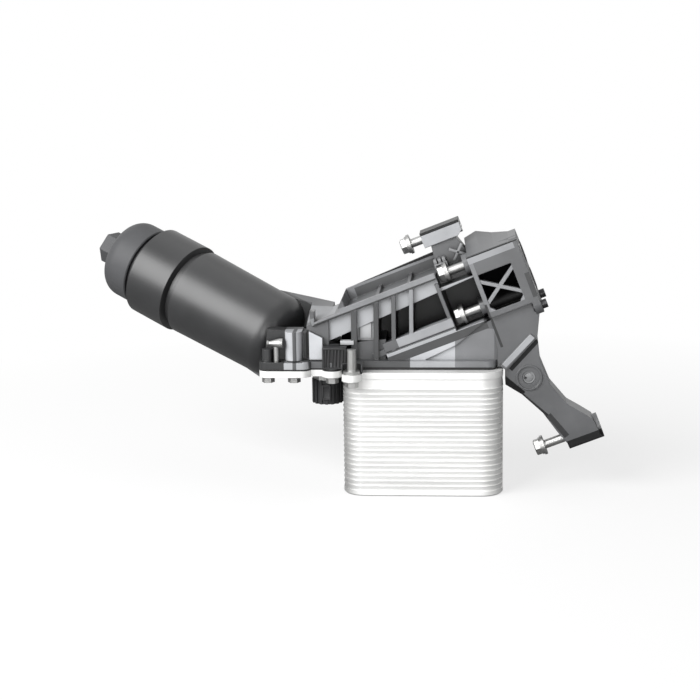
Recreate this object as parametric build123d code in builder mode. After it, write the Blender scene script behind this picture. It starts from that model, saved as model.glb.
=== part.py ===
"""Engine oil filter housing with its plate cooler, captive mounting bolts and screw-capped canister.

Frame: +Z up through the cooler stack, +X towards the engine flange, -Y towards the side with the
cross-braced window. The origin is the centre of the cooler's foot. Millimetres and degrees.
"""

from build123d import *
from math import cos, hypot, radians, sin, tan
import os

# Cooler stack: brazed cups, each with a flared rim, between a plain foot and a plain crown
cooler_width = 144.0
cooler_depth = 92.0
cooler_corner = 20.0
cooler_foot = 5.0
cooler_rows = 20
cooler_pitch = 4.7
cooler_crown = 9.0
rim_flare = 1.3
stack_height = cooler_foot + cooler_rows * cooler_pitch + cooler_crown
left_edge = -cooler_width / 2
right_edge = cooler_width / 2
front_edge = -cooler_depth / 2
back_edge = cooler_depth / 2

# Mounting plate between the stack and the moulding, with a tail and a narrow finger to the left
plate_thickness = 6.0
plate_corner = 8.0
tail_left = left_edge - 40.0
tail_front = 40.0
tail_back = 36.0
finger_left = left_edge - 74.5
finger_front = 41.0
finger_back = 19.0
plate_top = stack_height + plate_thickness

# Clearances
press_gap = 0.03
running_gap = 0.3

# Ports between the cooler and the moulding
port_radius = 8.0
port_depth = 6.0
port_places = ((left_edge + 22, 22.0), (-20.0, 22.0), (20.0, 22.0), (right_edge - 22, 22.0))

# Gasket and foot of the moulding on the plate
gasket_thickness = 1.5
foot_bottom = plate_top + gasket_thickness
foot_height = 6.5
foot_right = right_edge - 6.0

# Screws that hold the plate to the moulding, from below
screw_radius = 3.0
screw_flange_radius = 6.5
screw_flange_height = 1.5
screw_hex = 10.0
screw_head_height = 6.0
screw_length = 22.0
ear_radius = 9.0
finger_screws = ((left_edge - 67.0, -30.0), (left_edge - 43.5, -30.0))
tail_screws = ((left_edge - 9.0, -33.0), (left_edge - 26.0, 27.0))
post_place = (left_edge + 10.0, front_edge - 5.0)
rear_screws = ((-30.0, back_edge + 8.0), (46.0, back_edge + 8.0))
side_screw = (right_edge + 10.0, 10.0)
screw_boss_radius = 6.5
screw_boss_height = 17.0
finger_boss_radius = 5.0
tall_boss_radius = 7.7
tall_boss_height = 33.0

# Upright steel sleeve at the front of the plate
post_radius = 4.2
post_height = 22.0
post_flange_radius = 7.5
post_flange_height = 3.0

# Nozzle of the bleed line
nipple_place = (left_edge - 58.8, -35.5)
nipple_stem_radius = 2.2
nipple_height = 24.5
nipple_reach = 8.0
nipple_root = 6.0
nipple_collar_radius = 4.0
nipple_collar_height = 2.4
nozzle_root_radius = 4.4
nozzle_tip_radius = 2.0
nipple_bore = 1.1

# Filter canister, leaning up, out and to the back from the foot
canister_rise = 20.7
canister_yaw = 26.4
canister_foot_x = left_edge - 53.3
canister_foot_y = 16.2
canister_foot_z = plate_top + 14.7
canister_length = 160.0
canister_base_radius = 39.0
canister_top_radius = 41.2
canister_dome = 18.0
canister_floor = 5.0
canister_bore = 34.5
bore_dome = 15.0
collar_radius = 43.0
collar_length = 43.0
collar_bore = 37.5
collar_bore_length = 36.0
neck_groove_width = 6.5
neck_groove_depth = 4.0
collar_chamfer = 2.0
keel_length = 64.0
keel_depth = 5.0
keel_width = 4.0

# Screw cap
cap_gap = 7.0
cap_radius = 37.7
cap_wall = 4.0
cap_height = 38.5
cap_edge = 18.0
cap_round = 15.0
cap_crown_radius = 16.5
cap_neck_radius = 34.0
cap_hex = 28.0
cap_hex_height = 13.5
skirt_length = 32.0
skirt_inner_radius = 33.4
skirt_outer_radius = collar_bore - running_gap
o_ring_wire = 1.1
o_ring_groove = 2.0
o_ring_set_back = 5.0

# Filter element
element_radius = 31.5
element_bottom = 20.0
element_head_gap = 13.0
element_length = canister_length - element_bottom - element_head_gap
element_disc = 2.5
core_inner_radius = 12.0
core_wall = 1.2
core_slot_length = 16.0
core_slot_width = 4.0
core_slot_rows = 4
core_slot_count = 6
pleat_count = 40
pleat_inset = 0.8

# Standpipe with its bypass valve
standpipe_radius = core_inner_radius - running_gap
standpipe_wall = 2.7
standpipe_head_gap = 16.5
standpipe_top = element_bottom + element_length - element_disc - standpipe_head_gap
standpipe_length = standpipe_top - canister_floor
standpipe_foot_height = 6.0
seat_thickness = 3.0
seat_radius = 5.6
poppet_radius = 7.6
poppet_thickness = 2.6
poppet_stem_radius = 1.6
poppet_stem_length = 24.0
spring_length = 18.0
spring_radius = 5.4
spring_wire = 0.6
spring_turns = 4
cup_thickness = 2.4

# Ribbed frame, in its own tilted plane
frame_tilt = 21.0
frame_rise = 46.0
frame_front = 28.0
frame_back = 28.0
frame_left = left_edge - 23.0
beam_top = 31.0
beam_bottom_left = 10.0
beam_bottom_right = 18.0
beam_recess = 4.0
deck_thickness = 3.0
web_thickness = 4.0
web_back = 22.0
web_bottom = -22.0
rail_left = left_edge + 30.0
rail_bottom = -17.5
rail_top = -9.5
rail_depth = 11.0
shelf_thickness = 3.0
lower_beam_top = -19.5
upright_ribs = (-61.2, -41.4, -25.7, -9.9)
upright_widths = (5.2, 4.4, 3.8, 3.6)
upright_feet = (-18.0, -23.0, -19.0, -17.0)
strut_width = 3.2
rim_left = left_edge + 5.0
rim_height = 11.0
rim_lift = 4.0
rim_low = 3.0
rim_thickness = 3.2
rim_corner = 6.0
deck_cross_ribs = (-30.0, 0.0)

# Cross-braced box
box_left = right_edge - 16.0
box_right = right_edge + 31.0
strut_along = box_left - 33.6
rim_right = box_left - 6.0
box_top = 37.0
box_bottom = -21.0
box_front = 33.0
box_back = 30.0
hump_height = 11.6
window_left = box_left + 4.0
window_right = box_right - 12.0
window_top = 19.0
window_bottom = -16.0
window_corner = 4.0
window_depth = 50.0
brace_width = 3.2
brace_thickness = 5.0

# Engine flange with its two ports and two dowels
flange_thickness = 7.0
flange_top = 38.0
flange_bottom = -34.0
flange_front = 33.0
flange_back = 36.0
flange_corner = 9.0
flange_port_radius = 8.0
flange_port_depth = 24.0
flange_port_depth_place = 14.0
flange_port_rises = (-8.0, 18.0)
flange_seal_wire = 1.6
dowel_radius = 4.0
dowel_root_radius = 4.6
dowel_bore = 2.4
dowel_length = 13.0
dowel_out = 5.0
dowel_rise = -27.0
dowel_front = -25.0
dowel_back = 28.0

# Support arm
arm_front = 28.0
arm_thickness = 26.0
arm_boss_left = box_right - 23.0
arm_boss_right = box_right + 10.0
arm_boss_radius = 11.5
arm_rib_height = 3.0
pad_x = right_edge + 23.0
pad_z = 106.0
pad_radius = 11.7
pad_height = 1.2
pad_ring = 1.6

# Captive mounting bolts with their washers and sleeves
bolt_radius = 4.0
bolt_hex = 13.0
bolt_head_height = 7.0
bolt_flange_radius = 8.0
bolt_flange_height = 1.8
bolt_tip_chamfer = 1.0
washer_radius = 9.0
washer_thickness = 2.4
sleeve_radius = 6.2
sleeve_bore = bolt_radius + running_gap
lug_radius = 9.5
flange_lug_left = box_left - 5.0
flange_bolt_y = -14.0
upper_bolt_rise = 29.0
lower_bolt_rise = -12.0
top_bolt_y = 20.0
top_bolt_rise = 60.0
top_lug_left = box_left - 34.0
top_lug_right = box_left + 3.0
top_lug_width = 24.0
top_lug_height = 14.0
arm_bolt_rise = -150.5
flange_bolt_draw = 15.0
top_bolt_draw = 11.0
arm_bolt_draw = 20.0
tip_set_back = 2.0
notch_margin = 1.0
notch_left = box_left - 31.8

# Pressure sensor under the plate
sensor_x = left_edge - 15.5
sensor_y = -6.0
sensor_hex = 24.0
sensor_hex_height = 6.0
sensor_neck_radius = 11.0
sensor_thread_radius = 7.0
sensor_thread_length = 11.0
sensor_washer_thickness = 1.5
sensor_boss_radius = 15.0
sensor_boss_height = 22.0
shroud_radius = 13.0
shroud_height = 22.0
shroud_wall = 2.5
shroud_floor = 7.0
shroud_ribs = 16
shroud_rib = 1.2
pin_radius = 1.0
pin_length = 9.0
pin_places = ((-4.0, 0.0), (4.0, 0.0), (0.0, 4.0))


# Planes and axes that the pieces share
canister_axis = Vector(
    -cos(radians(canister_rise)) * cos(radians(canister_yaw)),
    cos(radians(canister_rise)) * sin(radians(canister_yaw)),
    sin(radians(canister_rise)),
)
canister_foot = Vector(canister_foot_x, canister_foot_y, canister_foot_z)
canister_side = canister_axis.cross(Vector(0, 0, 1)).normalized()
canister_profile = Plane(
    origin=canister_foot, x_dir=canister_side, z_dir=canister_side.cross(canister_axis)
)
canister_line = Axis(canister_foot, canister_axis)
mouth = canister_length
step_height = canister_length - collar_length

bolt_direction = Vector(cos(radians(frame_tilt)), 0, sin(radians(frame_tilt)))
frame_up = Vector(-sin(radians(frame_tilt)), 0, cos(radians(frame_tilt)))
frame_origin = Vector(0, 0, plate_top + frame_rise)


def level(front: float) -> Plane:
    """Upright plane that faces the front, at a distance in front of the middle."""
    return Plane.XZ.offset(front)


def tilted(front: float) -> Plane:
    """Plane of the ribbed frame, at a distance in front of the middle: x along the bolts, y up."""
    return Plane(
        origin=frame_origin - Vector(0, front, 0), x_dir=bolt_direction, z_dir=Vector(0, -1, 0)
    )


def canister_station(height: float) -> Plane:
    """Plane square to the canister's axis, at a height above its foot."""
    place = canister_foot + canister_axis * height
    return Plane(origin=place, x_dir=canister_side, z_dir=canister_axis)


def bolt_station(along: float, rise: float, depth: float) -> Plane:
    """Plane square to the mounting bolts: x to the back, y up the box."""
    place = frame_origin + bolt_direction * along + frame_up * rise + Vector(0, depth, 0)
    return Plane(origin=place, x_dir=Vector(0, 1, 0), z_dir=bolt_direction)


def frame_point(along: float, rise: float) -> tuple:
    """Place of a point of the ribbed frame in the upright front plane."""
    place = frame_origin + bolt_direction * along + frame_up * rise
    return (place.X, place.Z)


def frame_height(x: float, rise: float) -> float:
    """Height above the cooler's foot of the line at a rise in the ribbed frame, at a given x."""
    tilt = radians(frame_tilt)
    return plate_top + frame_rise + x * tan(tilt) + rise / cos(tilt)


# Outline of the foot and its gasket, drawn once
with BuildSketch() as foot_outline:
    with Locations(((tail_left + foot_right) / 2, (tail_back - tail_front + 6) / 2)):
        RectangleRounded(foot_right - tail_left, tail_back + tail_front - 6, plate_corner)
    with Locations(((finger_left + left_edge - 28) / 2, -(finger_front + finger_back) / 2)):
        RectangleRounded(left_edge - 28 - finger_left, finger_front - finger_back, plate_corner)
    with Locations(*tail_screws, post_place, *rear_screws, side_screw):
        Circle(ear_radius)
    with Locations((post_place[0], post_place[1] + 14)):
        Rectangle(2 * ear_radius, 28)
    for x, y in rear_screws:
        with Locations((x, (y + tail_back - 10) / 2)):
            Rectangle(2 * ear_radius, y - tail_back + 10)
    with Locations(((side_screw[0] + foot_right - 8) / 2, side_screw[1])):
        Rectangle(side_screw[0] - foot_right + 8, 2 * ear_radius)

screw_places = (*finger_screws, *tail_screws, post_place, *rear_screws, side_screw)

# Cooler stack
with BuildPart() as cooler_cup:
    with BuildSketch():
        RectangleRounded(
            cooler_width - 2 * rim_flare, cooler_depth - 2 * rim_flare, cooler_corner - rim_flare
        )
    with BuildSketch(Plane.XY.offset(cooler_pitch)):
        RectangleRounded(cooler_width, cooler_depth, cooler_corner)
    loft()

with BuildPart() as cooler_stack:
    with BuildSketch():
        RectangleRounded(cooler_width, cooler_depth, cooler_corner)
    extrude(amount=cooler_foot)
    chamfer(cooler_stack.faces().sort_by(Axis.Z)[0].edges(), rim_flare)
    with Locations(*[(0, 0, cooler_foot + row * cooler_pitch) for row in range(cooler_rows)]):
        add(cooler_cup.part)
    with BuildSketch(Plane.XY.offset(stack_height - cooler_crown)):
        RectangleRounded(
            cooler_width - 2 * rim_flare, cooler_depth - 2 * rim_flare, cooler_corner - rim_flare
        )
    extrude(amount=cooler_crown)
    with BuildSketch(Plane.XY.offset(stack_height)):
        with Locations(*port_places):
            Circle(port_radius)
    extrude(amount=-port_depth, mode=Mode.SUBTRACT)
cooler_stack.part.label = "cooler_stack"

# Mounting plate
with BuildPart() as base_plate:
    with BuildSketch(Plane.XY.offset(stack_height)):
        RectangleRounded(cooler_width, cooler_depth, cooler_corner)
        with Locations((0, 0)):
            add(foot_outline.sketch)
    extrude(amount=plate_thickness)
    with BuildSketch(Plane.XY.offset(stack_height)):
        with Locations(*screw_places):
            Circle(screw_radius + running_gap)
        with Locations(*port_places):
            Circle(port_radius)
        with Locations((sensor_x, sensor_y)):
            Circle(sensor_neck_radius + running_gap)
    extrude(amount=plate_thickness, mode=Mode.SUBTRACT)
base_plate.part.label = "base_plate"

# Gasket under the foot of the moulding, cut away around the post
with BuildPart() as foot_gasket:
    with BuildSketch(Plane.XY.offset(plate_top)):
        with Locations((0, 0)):
            add(foot_outline.sketch)
        with Locations(*screw_places):
            Circle(screw_radius + running_gap, mode=Mode.SUBTRACT)
        with Locations(*port_places):
            Circle(port_radius, mode=Mode.SUBTRACT)
        with Locations((sensor_x, sensor_y)):
            Circle(sensor_neck_radius + running_gap, mode=Mode.SUBTRACT)
        with Locations(post_place):
            Circle(post_flange_radius + running_gap, mode=Mode.SUBTRACT)
        with Locations((post_place[0], post_place[1] - ear_radius)):
            Rectangle(2 * ear_radius, 2 * ear_radius, mode=Mode.SUBTRACT)
        with Locations(nipple_place):
            Circle(nipple_collar_radius + running_gap, mode=Mode.SUBTRACT)
    extrude(amount=gasket_thickness)
foot_gasket.part.label = "foot_gasket"

# Screws from below the plate, all alike
with BuildPart() as plate_screw:
    with BuildSketch():
        RegularPolygon(screw_hex / 2, 6, major_radius=False)
    extrude(amount=-screw_head_height)
    with BuildSketch():
        Circle(screw_flange_radius)
    extrude(amount=-screw_flange_height)
    with BuildSketch():
        Circle(screw_radius)
    extrude(amount=screw_length)

with BuildPart() as plate_screws:
    with Locations(*[(x, y, stack_height) for x, y in screw_places]):
        add(plate_screw.part)
plate_screws.part.label = "plate_screws"

# The moulding: canister, foot, ribbed frame, braced box, engine flange and arm in one piece
with BuildPart() as housing:
    # Canister with its collar and the neck groove under the collar
    with BuildSketch(canister_profile):
        with BuildLine():
            corner = canister_base_radius - canister_dome
            Line((0, 0), (corner, 0))
            ThreePointArc(
                (corner, 0),
                (corner + canister_dome * sin(radians(45)), canister_dome * (1 - cos(radians(45)))),
                (canister_base_radius, canister_dome),
            )
            Polyline(
                (canister_base_radius, canister_dome),
                (canister_top_radius, step_height - neck_groove_width),
                (canister_top_radius - neck_groove_depth, step_height - neck_groove_width),
                (canister_top_radius - neck_groove_depth, step_height),
                (collar_radius, step_height + collar_chamfer),
                (collar_radius, mouth),
                (0, mouth),
                (0, 0),
            )
        make_face()
    revolve(axis=canister_line)

    # Foot slab and the block under the middle of the frame
    with BuildSketch(Plane.XY.offset(foot_bottom)):
        with Locations((0, 0)):
            add(foot_outline.sketch)
        with Locations((post_place[0], post_place[1] - ear_radius)):
            Rectangle(2 * ear_radius, 2 * ear_radius, mode=Mode.SUBTRACT)
        with Locations(post_place):
            Circle(post_flange_radius + 1, mode=Mode.SUBTRACT)
        with Locations(nipple_place):
            Circle(nipple_collar_radius + 2 * running_gap, mode=Mode.SUBTRACT)
    extrude(amount=foot_height)
    with BuildSketch(level(26)):
        Polygon(
            (-10, foot_bottom),
            (foot_right + 2, foot_bottom),
            (foot_right + 2, frame_height(foot_right + 2, -24)),
            (-10, frame_height(-10, -24)),
            align=None,
        )
    extrude(amount=-60)
    with BuildSketch(level(24)):
        Polygon(
            (left_edge + 10, foot_bottom),
            (left_edge + 39, foot_bottom),
            (left_edge + 39, plate_top + 26),
            (left_edge + 10, plate_top + 23),
            align=None,
        )
    extrude(amount=-50)
    with BuildSketch(level(31)):
        Polygon(
            (left_edge - 17, foot_bottom),
            (left_edge + 4, foot_bottom),
            (left_edge + 4, plate_top + 21.4),
            (left_edge - 17, plate_top + 21.4),
            align=None,
        )
    extrude(amount=-40)

    # Block beside the sensor, with its top sloping off, and the half-round screw boss in front
    with BuildSketch(level(31)):
        Polygon(
            (left_edge - 29.5, foot_bottom),
            (left_edge - 17.5, foot_bottom),
            (left_edge - 17.5, plate_top + 28.5),
            (left_edge - 29.5, plate_top + 34.5),
            align=None,
        )
    extrude(amount=-58)
    with BuildSketch(Plane.XY.offset(foot_bottom)):
        with Locations(finger_screws[1]):
            Circle(tall_boss_radius)
        with Locations((finger_screws[1][0], finger_screws[1][1] + 10)):
            Rectangle(2 * tall_boss_radius, 20)
    extrude(amount=tall_boss_height)

    # Wall from the finger to the front of the canister
    with BuildSketch(level(24)):
        Polygon(
            (left_edge - 71, foot_bottom),
            (left_edge - 28, foot_bottom),
            (left_edge - 28, plate_top + 32),
            (left_edge - 68, plate_top + 35),
            align=None,
        )
    extrude(amount=-17)
    with BuildSketch(Plane.XY.offset(foot_bottom)):
        with Locations(*tail_screws, *rear_screws, side_screw):
            Circle(screw_boss_radius)
        with Locations(finger_screws[0]):
            Circle(finger_boss_radius)
    extrude(amount=screw_boss_height)
    with BuildSketch(Plane.XY.offset(foot_bottom)):
        with Locations((sensor_x, sensor_y)):
            Circle(sensor_boss_radius)
    extrude(amount=sensor_boss_height)

    # Sloping web from the deck of the frame up to the back of the canister
    with BuildSketch(Plane.YZ.offset(left_edge - 12)):
        Polygon(
            (-26, plate_top + 14),
            (46, plate_top + 14),
            (46, plate_top + 47.5),
            (-26, plate_top + 46.5),
            align=None,
        )
    with BuildSketch(Plane.YZ.offset(left_edge - 32)):
        Polygon(
            (-26, plate_top + 14),
            (46, plate_top + 14),
            (46, plate_top + 52),
            (-26, plate_top + 39),
            align=None,
        )
    loft(ruled=True)
    with BuildSketch(Plane.YZ.offset(left_edge - 32)):
        Polygon(
            (32, plate_top + 14),
            (46, plate_top + 14),
            (46, plate_top + 52),
            (32, plate_top + 49.5),
            align=None,
        )
    with BuildSketch(Plane.YZ.offset(left_edge - 78)):
        Polygon(
            (32, plate_top + 24),
            (46, plate_top + 24),
            (46, plate_top + 62),
            (32, plate_top + 60),
            align=None,
        )
    loft(ruled=True)
    with BuildSketch(level(26)):
        Polygon(
            (left_edge - 29, plate_top + 30),
            (left_edge - 25, plate_top + 30),
            (left_edge - 25, plate_top + 51),
            (left_edge - 29, plate_top + 52),
            align=None,
        )
    extrude(amount=-14)

    # Keel under the canister
    with BuildSketch(
        Plane(origin=canister_foot, x_dir=canister_axis, z_dir=canister_side).offset(-keel_width / 2)
    ):
        Polygon(
            (canister_dome, -canister_base_radius + 6),
            (canister_dome - 6, -canister_base_radius - keel_depth + 3),
            (canister_dome, -canister_base_radius - keel_depth),
            (keel_length, -canister_base_radius - 0.4),
            (keel_length, -canister_base_radius + 6),
            align=None,
        )
    extrude(amount=keel_width)

    # Upper beam: a deck over a recessed front face
    with BuildSketch(tilted(frame_front)):
        Polygon(
            (frame_left, beam_top - deck_thickness),
            (box_left + 3, beam_top - deck_thickness),
            (box_left + 3, beam_top),
            (frame_left + 6, beam_top),
            align=None,
        )
    extrude(amount=-(frame_front + frame_back))
    with BuildSketch(tilted(frame_front - beam_recess)):
        Polygon(
            (frame_left, beam_top - deck_thickness),
            (frame_left + 8.7, beam_bottom_left),
            (box_left + 3, beam_bottom_right),
            (box_left + 3, beam_top - deck_thickness),
            align=None,
        )
    extrude(amount=-(frame_front - beam_recess + frame_back))

    # Back web, rail with its shelf, and the lower beam
    with BuildSketch(tilted(-web_back + web_thickness)):
        Polygon(
            (frame_left + 17, beam_top - 1),
            (frame_left + 19, beam_bottom_left),
            (left_edge + 10, web_bottom),
            (box_left + 3, web_bottom),
            (box_left + 3, beam_top - 1),
            align=None,
        )
    extrude(amount=-web_thickness)
    with BuildSketch(tilted(frame_front)):
        Polygon(
            (rail_left, rail_bottom),
            (box_left + 3, rail_bottom),
            (box_left + 3, rail_top),
            (rail_left, rail_top),
            align=None,
        )
    extrude(amount=-rail_depth)
    with BuildSketch(tilted(frame_front - 2)):
        Polygon(
            (rail_left - 12, rail_bottom - 2.5),
            (box_left + 3, rail_bottom - 2.5),
            (box_left + 3, rail_bottom + shelf_thickness),
            (rail_left - 12, rail_bottom + shelf_thickness),
            align=None,
        )
    extrude(amount=-(frame_front - 2 + web_back))
    with BuildSketch(level(frame_front)):
        Polygon(
            frame_point(rail_left, lower_beam_top),
            (-30, 119),
            (-4, 119),
            (30, 135.5),
            (41, 144.5),
            frame_point(box_left + 3, box_bottom + 1),
            frame_point(box_left + 3, lower_beam_top),
            align=None,
        )
    extrude(amount=-(frame_front + web_back))

    # Upright ribs and the strut across the windows
    with BuildSketch(level(frame_front)):
        for centre, width, bottom in zip(upright_ribs, upright_widths, upright_feet):
            left = centre - width / 2
            right = centre + width / 2
            Polygon(
                (left, frame_height(left, bottom)),
                (right, frame_height(right, bottom)),
                (right, frame_height(right, beam_top - 1)),
                (left, frame_height(left, beam_top - 1)),
                align=None,
            )
    extrude(amount=-(frame_front + web_back - 1))
    with BuildSketch(tilted(frame_front)):
        with Locations((strut_along, (rail_top + beam_bottom_right) / 2 + 2)):
            Rectangle(strut_width, beam_bottom_right - rail_top + 8)
    extrude(amount=-(frame_front + web_back - 1))

    # Tray on the deck: a tall rim at the back and left, a low one in front, and cross ribs
    with BuildSketch(tilted(-frame_back + rim_thickness)):
        Polygon(
            (rim_left, beam_top - 1),
            (rim_right, beam_top - 1),
            (rim_right, beam_top + rim_height + rim_lift),
            (rim_left + rim_corner, beam_top + rim_height),
            (rim_left, beam_top + rim_height - rim_corner),
            align=None,
        )
    extrude(amount=-rim_thickness)
    with BuildSketch(tilted(frame_front)):
        Polygon(
            (rim_left, beam_top - 1),
            (rim_left + rim_corner, beam_top - 1),
            (rim_left + rim_corner, beam_top + rim_height),
            (rim_left, beam_top + rim_height - rim_corner),
            align=None,
        )
    extrude(amount=-(frame_front + frame_back))
    with BuildSketch(tilted(frame_front)):
        Polygon(
            (rim_left, beam_top - 1),
            (box_left + 1, beam_top - 1),
            (box_left + 1, beam_top + rim_low),
            (rim_left, beam_top + rim_low),
            align=None,
        )
    extrude(amount=-rim_thickness)
    with BuildSketch(tilted(frame_front - 1)):
        for along in deck_cross_ribs:
            with Locations((along, beam_top + rim_low / 2 - 0.5)):
                Rectangle(rim_thickness, rim_low + 1)
    extrude(amount=-(frame_front + frame_back - 2))

    # Saddle for the top bolt on a ribbed stem
    with BuildSketch(tilted(-top_bolt_y + top_lug_width / 2)):
        Polygon(
            (top_lug_left, top_bolt_rise - top_lug_height / 2),
            (top_lug_right - 5, top_bolt_rise - top_lug_height / 2),
            (top_lug_right, top_bolt_rise - 3),
            (top_lug_right, top_bolt_rise + top_lug_height / 2),
            (top_lug_left, top_bolt_rise + top_lug_height / 2),
            align=None,
        )
    extrude(amount=-top_lug_width)
    with BuildSketch(tilted(-top_bolt_y + top_lug_width / 2 - 2)):
        Polygon(
            (top_lug_left + 3, beam_top - 1),
            (top_lug_right, beam_top - 1),
            (top_lug_right - 8, top_bolt_rise - top_lug_height / 2 + 1),
            (top_lug_left + 6, top_bolt_rise - top_lug_height / 2 + 1),
            align=None,
        )
    extrude(amount=-(top_lug_width - 6))

    # Box, and the hump over its back half
    with BuildSketch(tilted(box_front)):
        with Locations(((box_left + box_right) / 2, (box_top + box_bottom) / 2)):
            Rectangle(box_right - box_left, box_top - box_bottom)
    extrude(amount=-(box_front + box_back))
    with BuildSketch(tilted(box_front - 2)):
        Polygon(
            (box_left + 1, box_top - 6),
            (box_right - 5, box_top - 6),
            (box_right - 5, box_top + 0.2),
            (box_left + 26, box_top + 0.5),
            (box_left + 13, box_top + 0.7),
            (box_left + 1, box_top + 0.5),
            align=None,
        )
    with BuildSketch(tilted(-box_back)):
        Polygon(
            (box_left + 1, box_top - 6),
            (box_right - 5, box_top - 6),
            (box_right - 5, box_top + 0.2),
            (box_left + 26, box_top + hump_height * 0.45),
            (box_left + 13, box_top + hump_height),
            (box_left + 1, box_top + hump_height * 0.8),
            align=None,
        )
    loft(ruled=True)

    # Engine flange
    with BuildSketch(bolt_station(box_right, 0, 0)):
        with Locations(((flange_back - flange_front) / 2, (flange_top + flange_bottom) / 2)):
            RectangleRounded(flange_back + flange_front, flange_top - flange_bottom, flange_corner)
    extrude(amount=-flange_thickness)

    # Arm from the flange down to its bolt boss
    with BuildSketch(level(arm_front)):
        Polygon(
            frame_point(box_left + 1, box_bottom + 2),
            (right_edge - 5, plate_top + 17),
            (right_edge - 5, foot_bottom),
            (right_edge + 2, foot_bottom),
            (right_edge + 2, plate_top - 14.5),
            (right_edge + 16.7, plate_top - 23.5),
            (right_edge + 35.6, plate_top - 40.5),
            (right_edge + 49, plate_top - 58.5),
            frame_point(arm_boss_left + 2, arm_bolt_rise - 8),
            frame_point(arm_boss_right - 2, arm_bolt_rise - 8),
            (right_edge + 80, plate_top - 45.8),
            (right_edge + 69.8, plate_top - 39.5),
            (right_edge + 57.2, plate_top - 32.3),
            (right_edge + 41.9, plate_top - 14.3),
            (right_edge + 32.9, plate_top + 7.3),
            (right_edge + 30.2, plate_top + 29.7),
            frame_point(box_right - 1, flange_bottom + 8),
            frame_point(box_right - 1, box_bottom + 2),
            align=None,
        )
    extrude(amount=-arm_thickness)
    with BuildSketch(bolt_station(arm_boss_left, arm_bolt_rise, -arm_front + arm_thickness / 2)):
        Circle(arm_boss_radius)
    extrude(amount=arm_boss_right - arm_boss_left)

    # Raised rib and ring on the arm's front
    with BuildSketch(level(arm_front)):
        Polygon(
            (right_edge - 2.5, plate_top + 3),
            (right_edge + 23.5, plate_top + 32),
            (right_edge + 28, plate_top + 28.5),
            (right_edge + 2.5, plate_top - 1),
            align=None,
        )
    extrude(amount=arm_rib_height)
    with BuildSketch(level(arm_front)):
        with Locations((pad_x, pad_z)):
            Circle(pad_radius)
            Circle(pad_radius - pad_ring, mode=Mode.SUBTRACT)
    extrude(amount=pad_height)
    with BuildSketch(level(arm_front)):
        with Locations((pad_x, pad_z)):
            Circle(pad_radius * 0.5)
    extrude(amount=-arm_thickness + 6, mode=Mode.SUBTRACT)

    # Braced window: a deep pocket with two crossed bars at its front
    with BuildSketch(tilted(box_front)):
        Polygon(
            (window_left, window_bottom + window_corner),
            (window_left + window_corner, window_bottom),
            (window_right - window_corner, window_bottom),
            (window_right, window_bottom + window_corner),
            (window_right, window_top),
            (window_left, window_top),
            align=None,
        )
    extrude(amount=-window_depth, mode=Mode.SUBTRACT)
    with BuildSketch(tilted(box_front - 0.5)):
        for low, high in (
            ((window_left - 2, -9), (window_right + 2, 16.5)),
            ((window_left - 3, 14.5), (window_right + 2, -9)),
        ):
            run = high[0] - low[0]
            fall = high[1] - low[1]
            length = hypot(run, fall)
            side_x = -fall / length * brace_width / 2
            side_y = run / length * brace_width / 2
            Polygon(
                (low[0] + side_x, low[1] + side_y),
                (high[0] + side_x, high[1] + side_y),
                (high[0] - side_x, high[1] - side_y),
                (low[0] - side_x, low[1] - side_y),
                align=None,
            )
    extrude(amount=-brace_thickness)

    # Notches around the heads of the two flange bolts, open to the front
    notch_half = washer_radius + notch_margin
    for rise, top in ((upper_bolt_rise, beam_top + 6), (lower_bolt_rise, lower_bolt_rise + 9)):
        with BuildSketch(tilted(box_front)):
            Polygon(
                (notch_left, rise - notch_half),
                (box_left, rise - notch_half),
                (box_left, top),
                (notch_left, top),
                align=None,
            )
        extrude(amount=-(box_front + flange_bolt_y + notch_half), mode=Mode.SUBTRACT)

    # Spot face around the arm bolt
    with BuildSketch(bolt_station(arm_boss_left, arm_bolt_rise, -arm_front + arm_thickness / 2)):
        Circle(washer_radius + notch_margin)
    extrude(amount=-30, mode=Mode.SUBTRACT)

    # Bosses of the two flange bolts through the box
    for rise in (upper_bolt_rise, lower_bolt_rise):
        with BuildSketch(bolt_station(flange_lug_left, rise, flange_bolt_y)):
            Circle(lug_radius)
        extrude(amount=box_right - flange_lug_left)

    # Holes for the sleeves
    for rise in (upper_bolt_rise, lower_bolt_rise):
        with BuildSketch(bolt_station(flange_lug_left, rise, flange_bolt_y)):
            Circle(sleeve_radius + press_gap)
        extrude(amount=box_right - flange_lug_left, mode=Mode.SUBTRACT)
    with BuildSketch(bolt_station(top_lug_left, top_bolt_rise, top_bolt_y)):
        Circle(sleeve_radius + press_gap)
    extrude(amount=top_lug_right - top_lug_left, mode=Mode.SUBTRACT)
    with BuildSketch(bolt_station(arm_boss_left, arm_bolt_rise, -arm_front + arm_thickness / 2)):
        Circle(sleeve_radius + press_gap)
    extrude(amount=arm_boss_right - arm_boss_left, mode=Mode.SUBTRACT)

    # Ports and dowel holes of the engine flange
    for rise in flange_port_rises:
        with BuildSketch(bolt_station(box_right, rise, flange_port_depth_place)):
            Circle(flange_port_radius)
        extrude(amount=-flange_port_depth, mode=Mode.SUBTRACT)
        with BuildSketch(bolt_station(box_right, rise, flange_port_depth_place)):
            Circle(flange_port_radius + 2 * flange_seal_wire)
        extrude(amount=-1.5 * flange_seal_wire, mode=Mode.SUBTRACT)
    for depth in (dowel_front, dowel_back):
        with BuildSketch(bolt_station(box_right, dowel_rise, depth)):
            Circle(dowel_root_radius + press_gap)
        extrude(amount=-(dowel_length - dowel_out), mode=Mode.SUBTRACT)

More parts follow.
